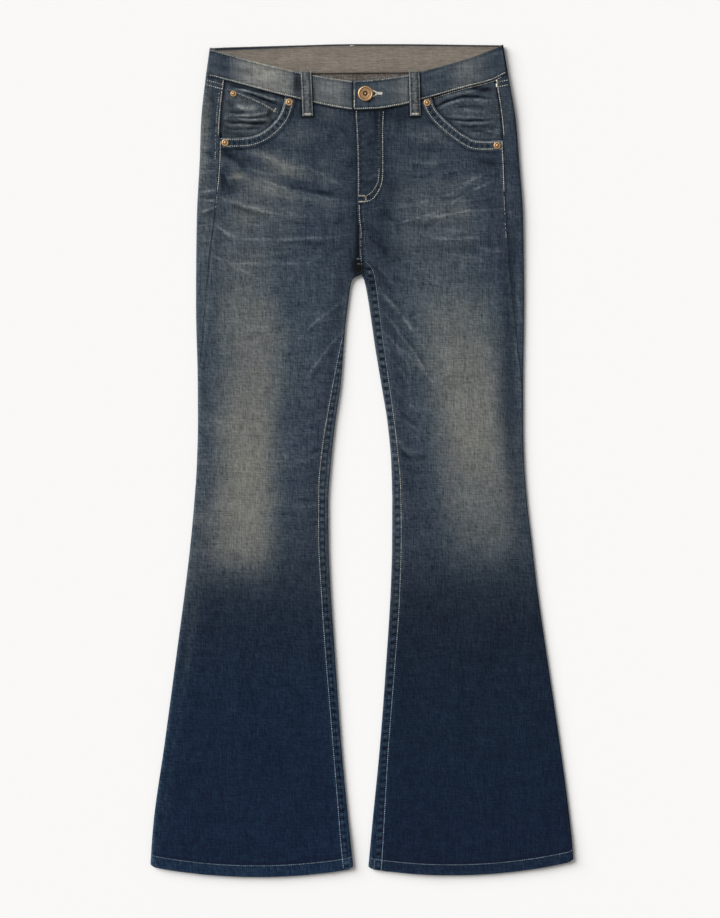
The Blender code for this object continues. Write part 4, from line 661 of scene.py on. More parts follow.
def facing_z(side, x, y):
    """Upper face of a pocket facing: on the back near the mouth, level with the front at its seams."""
    low, high = levels(y)
    away = from_mouth(side, x, y)
    beside_seam = 1 - ramp(0, SEAM_HOLD, (side_seam_x(side, y, 0) - x) * side)
    rise = np.maximum(ramp(SINK_START, SINK_END, away), beside_seam * ramp(*SEAM_FOOT, away))
    return lerp(low + UNDER_FACING + DENIM, high, rise)


def mouth_line(side, inset):
    """The mouth's edge, from the waistband to an inset from the side seam."""
    line = spline(MOUTH[side], 4)
    line = line[line[:, 1] < smooth(BAND_EDGES, "front_low", line[:, 0]) - SEAM_GAP]
    end_y = line[-1, 1]
    end_x = float(side_seam_x(side, end_y, inset))
    return np.vstack([line[side * line[:, 0] < side * end_x], [(end_x, end_y)]])


# ---- colour


def linear(colour):
    """sRGB values from 0 to 1 as linear light."""
    colour = np.asarray(colour, float)
    return np.where(colour <= 0.04045, colour / 12.92, ((colour + 0.055) / 1.055) ** 2.4)


def hexed(text):
    """A #rrggbb colour as sRGB values from 0 to 1."""
    return np.array([int(text[k:k + 2], 16) / 255 for k in (1, 3, 5)])


def blended(a, b, t):
    return a + (b - a) * np.asarray(t)[..., None]


def thigh(x, y):
    """Strength of the worn bands down the thighs."""
    total = np.zeros(np.broadcast(x, y).shape)
    for table in (THIGH_RIGHT, THIGH_LEFT):
        off = x - smooth(table, "middle", y)
        width = np.where(off > 0, smooth(table, "plus", y), smooth(table, "minus", y))
        wander = 1 + 0.10 * noise(y / 26, x / 60, 3)
        total = np.maximum(total, smooth(table, "strength", y) * np.exp(-0.69 * (np.abs(off) / width / wander) ** 3))
    return total


def washed(x, y):
    """Colour of the washed denim in sRGB, and how worn it is."""
    base = np.stack([smooth(TONES, name, y) for name in ("red", "green", "blue")], axis=-1) / 255
    places = patches(WEAR, x, y)
    mottle = 0.03 * noise(x / 9, y / 30, 11) + 0.05 * noise(x / 28, y / 10, 12)
    above = ramp(-220, -120, y)
    worn = np.clip(settings().fade * (thigh(x, y) + np.maximum(places, 0)) + mottle * above * 1.2, 0, 1)
    colour = blended(base, np.asarray(settings().worn_denim), worn)
    return blended(colour, hexed(INK), np.clip(-places, 0, 0.9)), worn


# ---- meshes


def settings():
    return bpy.context.scene.jeans


def add_piece(name, vertices, faces, look, nodes=()):
    """Makes a piece of the object from vertices in millimetres, riding on the jeans."""
    data = bpy.data.meshes.new(name)
    data.from_pydata(np.asarray(vertices) * MM, [], faces)
    data.materials.append(look)
    data.validate()
    data.shade_smooth()
    piece = bpy.data.objects.new(name, data)
    bpy.context.scene.collection.objects.link(piece)
    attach(piece, "root")
    if nodes:
        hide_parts(*nodes)
    return piece


def colour_piece(piece, colour, worn):
    """Stores the colour of each vertex, its dye with painted light and shade, and its wear."""
    data = piece.data
    rgba = np.ones((len(data.vertices), 4), np.float32)
    rgba[:, :3] = linear(np.clip(colour, 0.01, 1))
    data.attributes.new("dye_and_painted_light", "FLOAT_COLOR", "POINT").data.foreach_set("color", rgba.ravel())
    data.attributes.new("worn", "FLOAT", "POINT").data.foreach_set("value", np.asarray(worn, np.float32).ravel())


def cloth(name, outer, inner, colour, worn, look, slot, nodes, keep=None, closed=False, lining=TAUPE):
    """A closed wall of cloth between two grids of points; keep says which squares exist."""
    rows, columns = outer.shape[:2]
    across = columns if closed else columns - 1
    keep = np.ones((rows - 1, across), bool) if keep is None else keep
    count = rows * columns
    i, j = np.nonzero(keep)
    right = (j + 1) % columns

    def at(a, b):
        return a * columns + b

    def kept(a, b):
        b = b % across if closed else b
        inside = (a >= 0) & (a < rows - 1) & (b >= 0) & (b < across)
        return inside & keep[np.clip(a, 0, rows - 2), np.clip(b, 0, across - 1)]

    corners = [at(i, j), at(i, right), at(i + 1, right), at(i + 1, j)]
    quads = [np.stack(corners, axis=1), np.stack(corners[::-1], axis=1) + count]
    for a, b, ni, nj in ((0, 1, i - 1, j), (1, 2, i, j + 1), (2, 3, i + 1, j), (3, 0, i, j - 1)):
        rim = ~kept(ni, nj)
        p, q = corners[a][rim], corners[b][rim]
        quads.append(np.stack([q, p, p + count, q + count], axis=1))
    quads = np.concatenate(quads)
    points = np.concatenate([outer.reshape(-1, 3), inner.reshape(-1, 3)])
    used, packed = np.unique(quads, return_inverse=True)
    quads = packed.reshape(quads.shape)
    points = points[used]
    a, b, c, d = (points[quads[:, k]] for k in range(4))
    volume = np.einsum("ij,ij->i", a, np.cross(b, c)).sum() + np.einsum("ij,ij->i", a, np.cross(c, d)).sum()
    if volume < 0:
        quads = quads[:, ::-1]
    piece = add_piece(name, points, quads.tolist(), look, nodes)
    piece.data.set_sharp_from_angle(angle=CLOTH_SHARP)
    lined = np.broadcast_to(hexed(lining) if isinstance(lining, str) else lining, outer.shape).reshape(-1, 3)
    both = np.concatenate([np.broadcast_to(colour, outer.shape).reshape(-1, 3), lined])[used]
    spent = np.broadcast_to(worn, outer.shape[:2]).ravel()
    colour_piece(piece, both, np.concatenate([spent, np.full(count, 0.4)])[used])
    return piece


def snapped(grid, line, side):
    """Cuts a grid along a line: squares wholly beyond it go, and the corners just beyond move onto it."""
    beyond, px, py, _ = nearest(line, grid[..., 0], grid[..., 1], side)
    out = beyond > 0
    keep = ~(out[:-1, :-1] & out[1:, :-1] & out[:-1, 1:] & out[1:, 1:])
    moved = grid.copy()
    moved[..., 0] = np.where(out, px, grid[..., 0])
    moved[..., 1] = np.where(out, py, grid[..., 1])
    return moved, keep


# ---- panel points

EDGE_OFFSETS = np.array([0, 0.35, 0.9, 1.7, 2.7, 3.8, 5.0, 6.3, 7.6, 9.0, 10.5])
MIDDLE = np.linspace(0, 1, 80)[1:-1]
STRIP_STEPS, FOLD_STEPS, UNDER_STEPS, TIP_STEPS = 17, 9, 22, 6
BACK_COLUMNS = np.cumsum([0, STRIP_STEPS, UNDER_STEPS, FOLD_STEPS, TIP_STEPS])
EDGE_ROUND, HEM_ROUND, BAND_ROUND = 0.5, 1.2, 0.8


def through(*stops):
    """Values from stop to stop, each stop being a value and the steps to the next."""
    parts = [np.linspace(a, b, n, endpoint=False) for (a, n), (b, _) in zip(stops, stops[1:])]
    return np.concatenate(parts + [[stops[-1][0]]])


ROWS = through(
    (HEM_ROW_Y, 1), (-548.85, 1), (-548.5, 1), (-547.8, 12), (HEM_BLEND_Y, 288), (238, 10), (FORK_Y, 1),
    (251.5, 12), (CROTCH_Y, 1), (275, 152), (499, 1), (499.6, 1), (PANEL_TOP_Y, 0),
)


def rounded(gap, radius=EDGE_ROUND):
    """How far a face drops this near a cut edge, so that the edge is rounded."""
    share = 1 - np.clip(gap / radius, 0, 1)
    return radius * (1 - np.sqrt(1 - share * share))


def inner_part(side, y, reach, depth):
    """Points of a front beside its inseam or its centre seam."""
    leg = wall("inner", side, y, seam_place("inner", side, y) + reach, depth)
    x = smooth(CENTRE, "front", y) + side * (seam_inset("inseam", side, y) + reach)
    return np.where((y < FORK_Y + SEAM_GAP)[..., None], leg, flat(x, y, depth, True))


def outer_part(side, y, reach, depth):
    """Points of a front beside its side seam."""
    return wall("outer", side, y, seam_place("outer", side, y) + reach, depth)


def front_points(side, y, depth):
    """A front panel's points, each column running up from the hem, from its inseam to its side seam."""
    count = len(EDGE_OFFSETS)
    inner_y, middle_y, outer_y = y[:, :count], y[:, count:-count], y[:, -count:]
    reach = SEAM_GAP / 2 + EDGE_OFFSETS
    start = inner_part(side, middle_y, reach[-1], 0)[..., 0]
    stop = outer_part(side, middle_y, reach[-1], 0)[..., 0]
    middle = flat(lerp(start, stop, MIDDLE), middle_y, depth, True)
    first, last = inner_part(side, inner_y, reach, depth), outer_part(side, outer_y, reach[::-1], depth)
    return np.concatenate([first, middle, last], axis=1)


def back_points(side, y, depth):
    """A back panel's points, from the side seam round and under the leg to the inseam or the centre back."""
    strip_y, under_y, fold_y, tip_y = (y[:, a:b] for a, b in zip(BACK_COLUMNS, BACK_COLUMNS[1:]))

    def quarter(y):
        return half_height(y) * math.pi / 2

    def inner_end(y):
        return seam_place("inner", side, y) - SEAM_GAP / 2

    def fold_end(y):
        return np.minimum(quarter(y), lerp(-quarter(y), inner_end(y), 0.7))

    share = np.linspace(0, 1, STRIP_STEPS)
    place = lerp(seam_place("outer", side, strip_y) - SEAM_GAP / 2, -quarter(strip_y), share)
    strip = wall("outer", side, strip_y, place, depth)

    above = under_y >= FORK_Y + SEAM_GAP
    start = wall("outer", side, under_y, -quarter(under_y), 0)[..., 0]
    leg_stop = wall("inner", side, under_y, -quarter(under_y), 0)[..., 0]
    seat_stop = smooth(CENTRE, "back", under_y) + side * SEAM_GAP / 2
    share = np.arange(1, UNDER_STEPS + 1) / np.where(above, UNDER_STEPS, UNDER_STEPS + 1)
    under = flat(lerp(start, np.where(above, seat_stop, leg_stop), share), under_y, depth, False)

    share = np.linspace(0, 1, FOLD_STEPS)
    fold = wall("inner", side, fold_y, lerp(-quarter(fold_y), fold_end(fold_y), share), depth)

    share = np.arange(1, TIP_STEPS + 1) / TIP_STEPS
    on_leg = wall("inner", side, tip_y, lerp(fold_end(tip_y), inner_end(tip_y), share), depth)
    reach = np.maximum(seam_inset("inseam", side, tip_y) - SEAM_GAP / 2, 3 * SEAM_GAP)
    tip_x = smooth(CENTRE, "front", tip_y) + side * lerp(SEAM_GAP / 2, reach, share)
    tip = np.where((tip_y >= FORK_Y + SEAM_GAP)[..., None], flat(tip_x, tip_y, depth, True), on_leg)
    return np.concatenate([strip, under, fold, tip], axis=1)


def panel_heights(side, points, columns, top_y):
    """Each grid point's y: the lowest rows follow the hem, and the upper ones lean towards the top seam."""
    nominal = np.repeat(ROWS[:, None], columns, axis=1)
    x = points(side, nominal, 0)[..., 0]
    hem = lerp(hem_y(side, x), HEM_BLEND_Y, (nominal - HEM_ROW_Y) / (HEM_BLEND_Y - HEM_ROW_Y))
    lean = nominal + (top_y(x) - PANEL_TOP_Y) * ramp(TOP_BLEND_Y, PANEL_TOP_Y, nominal)
    return np.where(nominal < HEM_BLEND_Y, hem, lean)


def yoke_y(side, x, on_front):
    """Height of the yoke seam: slightly falling on the wrapped strip, and a wide V on the back."""
    fold = outer_x(side, YOKE_FOLD_Y)
    strip = np.minimum(1, np.abs(fold - x) / seam_inset("side", side, YOKE_FOLD_Y))
    centre = smooth(CENTRE, "back", YOKE_CENTRE_Y)
    seat = np.minimum(1, np.abs(fold - x) / np.abs(fold - centre))
    side_y = YOKE_SIDE_Y[side]
    return np.where(on_front, lerp(YOKE_FOLD_Y, side_y, strip), lerp(YOKE_FOLD_Y, YOKE_CENTRE_Y, seat))


def loop_shade(x, y):
    """How dark the cloth is beside the front belt loops, from 0 to 1."""
    total = np.zeros(x.shape)
    for _, _, upper_x, lower_x, high_y in LOOPS[1:3]:
        share = (high_y - y) / LOOP_LENGTH
        gap = np.abs(x - lerp(upper_x, lower_x, share)) - LOOP_WIDTH / 2
        beside = bell(gap - 0.4, 1.8) * ramp(-0.02, 0.03, share) * (1 - ramp(0.96, 1.0, share))
        past = bell(gap.clip(0), 2.0) * bell((share - 1) * LOOP_LENGTH - 1.2, 1.6)
        total = np.maximum(total, np.maximum(beside, 0.8 * past))
    # The deep shade between the right pocket and its loop
    return np.maximum(total, bell(x + 88, 4.5) * bell(y - 507, 17))


def dressed(side, points):
    """Colour and wear of a leg's outside: the wash, its creases, the rubbed and roped edges, painted light and shade
    along the outer folds, and painted shade at the fork and down the lower left leg.
    """
    x, y = points[..., 0], points[..., 1]
    colour, worn = washed(x, y)
    low_down = 1 - ramp(-220, -60, y)
    streaks = 3.6 * noise(x / 5, y / 30, 41) + 3.6 * noise(x / 24, y / 4, 42) + 2 * noise(x / 11, y / 9, 43)
    light = 1.6 * creases(CREASES, x, y)[0] + (0.5 + 0.5 * ramp(-200, 60, y)) * streaks

    # The felled inseam, between its stitches and the fold
    to_inner = np.where(y < FORK_Y, np.abs(x - inner_x(side, y)), FAR)
    from_stitch = np.abs(smooth(INSEAM_STITCH, SIDE_NAMES[side], y)) - np.abs(x)
    on_leg = 1 - ramp(CROTCH_Y - 16, CROTCH_Y - 8, y)
    lumps = np.maximum(rope(y, 31 + side, INSEAM_LUMPS), -0.3)
    by_fork = ramp(20, 120, y) if side == LEFT else 0.0
    seam = ramp(-0.5, 1.5, from_stitch) * (4 - 9 * by_fork + 9 * low_down + 13 * bell(to_inner, 2.4))
    seam = seam - (44 + 22 * by_fork) * lumps * bell(from_stitch - ROPED_AT, ROPED_WIDTH, 4)
    light += on_leg * (seam + stripes(from_stitch, (-2.0, 1.6, 7), (1.6, 0.9, -12)))

    # Along the outer folds the right leg, on the key light's side, is lighter, partly worn and partly painted
    # highlight; the left leg is darker with painted shade
    to_outer = np.abs(outer_x(side, y) - x)
    light += (14 + 8 * low_down if side == RIGHT else -6) * bell(to_outer, 5)
    from_hem = y - hem_y(side, x)
    in_hem = 1 - ramp(HEM_STITCH[side] - 1.2, HEM_STITCH[side] + 1.2, from_hem)
    twist = np.sin(2 * math.pi * (x + 0.5 * y) / 8.5 + 2 * noise(x / 20, 0.5, 51))
    light += in_hem * ((12 if side == RIGHT else 9) + 4.5 * twist + 16 * bell(to_inner - 6.6, 1.2))
    light += stripes(from_hem, (0, 1.8, 10), (HEM_STITCH[side] + 2.2, 1.5, -9))
    # Painted shade in the hollow at the fork
    light -= 46 * bell(x + 6, 9) * bell(y - 260, 13) + 24 * bell(x + 5, 6) * bell(y - 260, 11, 4)
    # Painted shade: the lower left leg, on the side away from the key light, is a tenth darker
    if side == LEFT:
        colour = colour * (1 - 0.10 * (1 - ramp(-230, -110, y)))[..., None]
    # The dark lower legs show their yarns more strongly for their depth
    return colour, worn - 0.75 * (1 - ramp(-260, -140, y)), light


def shaded(colour, light):
    """A colour made lighter or darker by so many 255ths, of wear and of painted light and shade, and warmer where
    lighter, as the pale weft shows through.
    """
    light = np.asarray(light)[..., None] / 255
    return np.clip(colour + np.where(light > 0, light * WORN_AND_LIT_WARMTH, light), 0.02, 1)


# ---- materials


def fill(look, made, inputs):
    """Gives each socket of a node a value or another node's output."""
    for socket, value in inputs.items():
        if isinstance(value, bpy.types.NodeSocket):
            look.node_tree.links.new(value, made.inputs[socket])
        else:
            made.inputs[socket].default_value = value


def node(look, kind, inputs=None, out=0, **settings_):
    """Adds a node with its settings and inputs, and gives the output asked for."""
    made = look.node_tree.nodes.new(kind)
    for name, value in settings_.items():
        setattr(made, name, value)
    fill(look, made, inputs or {})
    return made.outputs[out]


def new_look(name, build):
    """The material of that name. Where there is none, build adds its nodes and gives its shader's inputs."""
    look = bpy.data.materials.get(name)
    if look is None:
        look = bpy.data.materials.new(name)
        look.use_nodes = True
        fill(look, look.node_tree.nodes["Principled BSDF"], build(look))
    return look


def maths(look, operation, *terms):
    return node(look, "ShaderNodeMath", dict(enumerate(terms)), operation=operation)


def grain(look, size, detail=2.0):
    """Noise stretched to so many millimetres along each axis."""
    place = node(look, "ShaderNodeTexCoord", out="Object")
    stretched = node(look, "ShaderNodeMapping", {"Vector": place, "Scale": [1 / (s * MM) for s in size]})
    inputs = {"Vector": stretched, "Scale": 1.0, "Detail": detail, "Roughness": 0.6}
    return node(look, "ShaderNodeTexNoise", inputs, "Fac")


def sums(look, start, *terms):
    """Start plus each output less a half, times its weight."""
    total = start
    for output, weight in terms:
        total = maths(look, "MULTIPLY_ADD", maths(look, "ADD", output, -0.5), weight, total)
    return total


def woven(name, weights, sheen, fuzz, roughness, twill):
    """Twill cloth: the dye and the painted light and shade stored on the mesh, broken up by uneven yarns both ways and
    the twill's diagonal.
    """

    def build(look):
        dye_and_painted_light = node(look, "ShaderNodeAttribute", out="Color", attribute_name="dye_and_painted_light")
        worn = node(look, "ShaderNodeAttribute", out="Fac", attribute_name="worn")
        # Slubs in the warp run along the leg and those in the weft across it; yarns are 0.4 mm, drawn 1.1 mm to show
        warp, weft = grain(look, (1.1, 17, 1.1)), grain(look, (12, 1.1, 12))
        fleck, cloud = grain(look, (1.0, 1.0, 1.0), 1.0), grain(look, (9, 14, 9), 3.0)
        place = node(look, "ShaderNodeTexCoord", out="Object")
        # Twill lines are 1.1 mm apart, drawn 2.2 mm apart to show
        wave = {"Vector": place, "Scale": 0.314 / (2.2 * MM) / 2, "Distortion": 0.6, "Detail": 1.0}
        lines = node(look, "ShaderNodeTexWave", wave, "Fac", wave_type="BANDS", bands_direction="DIAGONAL")
        strength = maths(look, "MULTIPLY_ADD", worn, -0.6, 1.5)
        broken = sums(look, 0.0, *zip((warp, weft, fleck, cloud), weights), (lines, twill))
        value = maths(look, "MAXIMUM", maths(look, "MULTIPLY", broken, strength), -0.75)
        # A bared yarn is pale whatever the dye round it, so much of the unevenness is grey
        grey = maths(look, "MULTIPLY", node(look, "ShaderNodeRGBToBW", {"Color": dye_and_painted_light}), 0.6)
        spread = node(look, "ShaderNodeVectorMath", {0: dye_and_painted_light, "Scale": 0.45}, operation="SCALE")
        spread = node(look, "ShaderNodeVectorMath", {0: spread, 1: grey}, operation="ADD")
        tinted = node(look, "ShaderNodeVectorMath", {0: spread, 1: value, 2: dye_and_painted_light}, operation="MULTIPLY_ADD")
        tinted = node(look, "ShaderNodeVectorMath", {0: tinted, 1: [DARKEST] * 3}, operation="MAXIMUM")
        height = sums(look, 0.0, (warp, 0.35), (weft, 0.35), (fleck, 0.4), (lines, 0.3))
        bumped = node(look, "ShaderNodeBump", {"Height": height, "Strength": 0.5, "Distance": 0.4 * MM})
        return {
            "Base Color": tinted, "Roughness": sums(look, roughness, (fleck, 0.12)), "Normal": bumped, "IOR": 1.45,
            "Specular IOR Level": 0.2, "Sheen Weight": sheen, "Sheen Roughness": 0.5, "Sheen Tint": (*fuzz, 1),
        }

    return new_look(name, build)


def denim_look():
    # Washed indigo twill, ring spun: matt, its navy warp worn through to the pale weft, a little fuzzy
    return woven("washed_indigo_twill", (1.6, 1.35, 1.3, 0.1), 0.12, (0.5, 0.85, 1.0), 0.9, 0.10)


def facing_look():
    # Wrong side of the twill, undyed weft up and browned by the wash: matt and evenly grained
    return woven("undyed_twill_weft_side", (0.18, 1.0, 0.5, 0.05), 0.1, (1.0, 1.0, 1.0), 0.92, 0.03)


def thread_look():
    # Core-spun sewing thread, two plies twisted: pale, with a soft gleam and a fine slanting ply
    def build(look):
        dye_and_painted_light = node(look, "ShaderNodeAttribute", out="Color", attribute_name="dye_and_painted_light")
        ply = grain(look, (0.5, 0.5, 0.5), 1.0)
        tinted = {0: dye_and_painted_light, "Scale": sums(look, 1.0, (ply, 0.5))}
        return {
            "Base Color": node(look, "ShaderNodeVectorMath", tinted, operation="SCALE"),
            "Normal": node(look, "ShaderNodeBump", {"Height": ply, "Strength": 0.5, "Distance": 0.1 * MM}),
            "Roughness": 0.75, "Specular IOR Level": 0.3, "Sheen Weight": 0.1,
        }

    return new_look("core_spun_thread", build)


def copper_look():
    # Copper-plated brass, stamped and tumbled: warm and rubbed bright on its rims, brown with age in its hollows
    def build(look):
        worn = node(look, "ShaderNodeAttribute", out="Fac", attribute_name="worn")
        spots, brushed = grain(look, (1.6, 1.6, 1.6), 3.0), grain(look, (0.5, 0.5, 0.5), 2.0)
        shine = sums(look, worn, (spots, 0.9), (brushed, 0.4))
        shine = node(look, "ShaderNodeMapRange", {"Value": shine, "From Min": 0.1, "From Max": 0.9})
        # A colour mix has its two colours at sockets 6 and 7, and the mixed one at output 2
        patina, copper = ((*linear(colour), 1) for colour in (settings().patina, settings().copper))
        mixed = node(look, "ShaderNodeMix", {0: shine, 6: patina, 7: copper}, 2, data_type="RGBA")
        return {
            "Base Color": mixed, "Roughness": sums(look, 0.48, (spots, 0.3)), "Metallic": 0.7,
            "Normal": node(look, "ShaderNodeBump", {"Height": spots, "Strength": 0.35, "Distance": 0.15 * MM}),
        }

    return new_look("aged_copper_plate", build)


# ---- cloth by pieces


def tailored(kind, word, walls, colour, light, worn, rests_on=(), slot="denim", **more):
    """Makes the piece of cloth that stands for a node."""
    node_name = kind + word
    ending, look = ("_denim", denim_look()) if slot == "denim" else ("_twill", facing_look())
    piece = cloth(node_name + ending, *walls, shaded(colour, light), worn, look, slot, [node_name], **more)


def fly_light(x, y, from_centre, on_rise):
    """Lightness of the lap's edge, of the cloth beside the fly's rows, and of the crotch seam below them."""
    above = ramp(346, 349, y)
    outside, _, _, place = nearest(spline(FLY_OUTER, 5), x, y)
    light = above * (24 * bell(from_centre, 1.2) - 20 * bell(from_centre - 4.6, 2.2) * (0.5 + 0.5 * rope(y, 81)))
    # Painted shade along both sides of the J's outer row, and puckers near it
    light -= above * (12 * bell(np.abs(outside) - 2.2, 1.4) + 8 * rope(place, 82) * bell(outside + 6.5, 2.4))
    light += 9 * bell(x - 23.4, 1.2) * ramp(415, 440, y) * (0.6 + 0.4 * rope(y, 83))
    light -= 16 * bell(x - 19, 2.4) * ramp(425, 450, y)
    seam = stripes(from_centre, (0, 1.2, 8), (4, 2, -16)) + 8 * rope(y, 84) * bell(from_centre - 6, 3)
    return light + (1 - above) * on_rise * seam


def front_panel(side):
    """Front: hem to waistband, its top outer corner cut away along the pocket mouth."""
    word = SIDE_NAMES[side]
    columns = 2 * len(EDGE_OFFSETS) + len(MIDDLE)
    y = panel_heights(side, front_points, columns, lambda x: smooth(BAND_EDGES, "front_low", x) - SEAM_GAP)
    uncut, inner = front_points(side, y, 0), front_points(side, y, DENIM)
    mouth = spline(MOUTH[side], 6)
    outer, keep = snapped(uncut, mouth, side)
    inner[..., :2] += (outer - uncut)[..., :2]
    x, y = outer[..., 0], outer[..., 1]
    beyond, _, _, place = nearest(mouth, x, y, side)
    covered = -beyond
    by_mouth = y > MOUTH_LOWEST
    in_mouth = ramp(-0.5, 1, covered) * (1 - ramp(10.5, 13, covered)) * by_mouth
    lumps = 0.5 + 0.5 * rope(place, 61 + side)
    from_top = smooth(BAND_EDGES, "front_low", x) - SEAM_GAP - y
    swell = in_mouth * (0.45 - 0.28 * bell(covered - 6.6, 2.6) * lumps) + 0.25 * rope(x, 71) * bell(from_top, 7)
    from_side = np.concatenate([np.full(len(EDGE_OFFSETS) + len(MIDDLE), FAR), EDGE_OFFSETS[::-1]])
    gap = np.minimum(from_side, from_side[::-1])
    gap = np.minimum(np.minimum(gap, np.maximum(covered, 0)), np.maximum(from_top, 0))
    outer[..., 2] += swell - rounded(gap) - rounded(y - hem_y(side, x), HEM_ROUND)
    inner[..., 2] += swell + rounded(gap)

    colour, worn, light = dressed(side, outer)
    light += by_mouth * stripes(covered, (0, 1.5, 40), (12.4, 1.2, 16), (15.0, 1.8, -24))
    light += in_mouth * (13 - 60 * bell(covered - 6.8, 2.6) * lumps)
    # Painted shadow under the waistband's lower edge, and puckers along the seam below it
    light += stripes(from_top, (0, 2.2, -46), (0, 5, -6)) + 7 * rope(x, 71) * bell(from_top - 4, 5)
    light -= 48 * loop_shade(x, y)
    from_centre = side * (x - smooth(CENTRE, "front", y))
    on_rise = ramp(255, 262, y)
    if side == LEFT:
        light += fly_light(x, y, from_centre, on_rise)
        high_up, low_edge = ramp(325, 355, y), 20 * ramp(0, 60, y)
    else:
        # Painted shadow along the centre seam, under the fly's edge and deepest beside the crotch seam
        light -= on_rise * (12 * bell(from_centre, 3.5) + 40 * bell(from_centre - 1.0, 3.6) * (1 - ramp(285, 350, y)))
        high_up, low_edge = ramp(180, 330, y), -16
    rubbed = 0.6 + 0.4 * noise(y / 9, 0.5, 91 + side)
    light += (12 * bell(from_side - 3.4, 1.4) + lerp(low_edge, -50, high_up) * bell(from_side, 1.6)) * rubbed
    tailored("front_panel_", word, (outer, inner), colour, light, worn, ["back_panel_" + word], keep=keep)


def back_panel(side):
    """Back: wraps forward over both folds, and its tip comes through the fork to meet the front seams."""
    _, _, fold_start, tip_start, columns = BACK_COLUMNS
    share = np.arange(columns)
    on_front = share < STRIP_STEPS * 0.6
    y = panel_heights(side, back_points, columns, lambda x: yoke_y(side, x, on_front) - SEAM_GAP / 2)
    outer, inner = back_points(side, y, 0), back_points(side, y, DENIM)
    keep = np.ones((len(ROWS) - 1, columns - 1), bool)
    keep[ROWS[:-1] >= FORK_Y, fold_start - 1:tip_start] = False
    keep[ROWS[:-1] >= (CROTCH_Y if side == LEFT else FORK_Y), tip_start - 1:] = False
    x, y = outer[..., 0], outer[..., 1]
    on_top = outer[..., 2] > levels(y)[0] + ON_TOP
    dented = 0.3 * np.maximum(noise(x / 17, y / 46, 23), 0) + 0.6 * np.maximum(creases(CREASES, -x, y)[1], 0)
    dented = np.where(on_top, 0, settings().crease * dented * ramp(4, 20, fold_gap(x, y)))
    drop = rounded(y - hem_y(side, x), HEM_ROUND)
    outer[..., 2] += dented + np.where(on_top, -drop, drop)
    inner[..., 2] += dented
    colour, worn, light = dressed(side, outer)
    colour = np.where(on_top[..., None], colour, blended(colour, hexed(NAVY), 0.4 * np.maximum(worn, 0)))
    rubbed = (share < STRIP_STEPS) * (0.6 + 0.4 * noise(y / 9, 0.5, 93)) * ramp(60, 130, y)
    light += (9 if side == RIGHT else -14) * bell(share, 1.6) * rubbed
    tailored("back_panel_", SIDE_NAMES[side], (outer, inner), colour, light, worn, keep=keep)


def back_yoke(side):
    """Yoke: between the back panel and the waistband, from the side seam round the fold to centre back."""
    columns, rows, height = STRIP_STEPS + UNDER_STEPS, 22, 14
    on_front = np.arange(columns) < STRIP_STEPS * 0.6
    share = np.linspace(0, 1, rows)[:, None]
    y = np.full((rows, BACK_COLUMNS[-1]), PANEL_TOP_Y)
    for _ in range(4):
        x = back_points(side, y, 0)[:, :columns, 0]
        high = np.where(on_front, smooth(BAND_EDGES, "front_low", x), smooth(BAND_EDGES, "back_low", x)) - SEAM_GAP
        y[:, :columns] = lerp(yoke_y(side, x, on_front) + SEAM_GAP / 2, high, share)
    outer, inner = (back_points(side, y, depth)[:, :columns] for depth in (0, DENIM))
    x, y = outer[..., 0], outer[..., 1]
    on_top = outer[..., 2] > levels(y)[0] + ON_TOP
    colour, worn, light = dressed(side, outer)
    # Lighter along the yoke seam, and painted shadow under the waistband's lower edge
    light += 14 * bell(share * height, 1.6) - 26 * bell((1 - share) * height, 2.2)
    light += 8 * rope(x, 72) * bell(share - 0.45, 0.3)
    colour = np.where(on_top[..., None], colour, blended(colour, hexed(NAVY), 0.3))
    from_back = np.abs(x - smooth(CENTRE, "back", y))
    puckers = 16 * rope(y * 1.6 + x, 73) * bell(from_back - 6, 5) - 14 * bell(from_back, 1.6)
    wrong_side = shaded(np.broadcast_to(hexed(TAUPE_DARK), outer.shape), puckers)
    tailored("back_yoke_", SIDE_NAMES[side], (outer, inner), colour, light, worn, lining=wrong_side)


def hem_turn(side):
    """Hem: the turned-up layer that lines the leg opening, rolled into the panel's edge at the bottom."""
    word = SIDE_NAMES[side]
    lifts = np.array([0, 0.2, 0.6, 1.2, 3, 6, 9, 12, HEM_TURN])[:, None]
    # Just short of a quarter turn, so that the fold's ends stay on its round
    angle = np.linspace(-1, 1, 9) * math.pi / 2 * 0.99999

    def ring(extra):
        depth = DENIM + SEAM_GAP + extra

        def fold(edge):
            y = hem_y(side, edge_shape(edge, side, np.full((1, 1), HEM_ROW_Y))[0]) + lifts
            return wall(edge, side, y, angle * half_height(y), depth)

        def span(a, b, over):
            x = lerp(a, b, np.arange(1, 50) / 50)
            y = hem_y(side, x) + lifts
            low, high = levels(y)
            return np.stack([x, y, high - depth if over else low + depth], axis=-1)

        outer, inner = fold("outer"), fold("inner")
        upper = span(outer[:, -1:, 0], inner[:, -1:, 0], True)
        lower = span(inner[:, :1, 0], outer[:, :1, 0], False)
        return np.concatenate([outer, upper, inner[:, ::-1], lower], axis=1)

    outer, inner = ring(0), ring(DENIM)
    inner[..., 2] -= np.sign(inner[..., 2] - outer[..., 2]) * rounded(lifts, HEM_ROUND)
    colour, worn = washed(outer[..., 0], outer[..., 1])
    tailored("hem_turn_", word, (outer, inner), colour, 4, worn, ["front_panel_" + word + "_denim"], closed=True,
             lining="#3a414b")


def facing_folds(side, x, y, away):
    """Lightness and height of the folds pressed into a pocket's facing."""
    light, height = creases(RIGHT_POCKET if side == RIGHT else LEFT_POCKET, x, y)
    return 1.9 * light, settings().crease * 1.2 * height * ramp(1, 8, away)


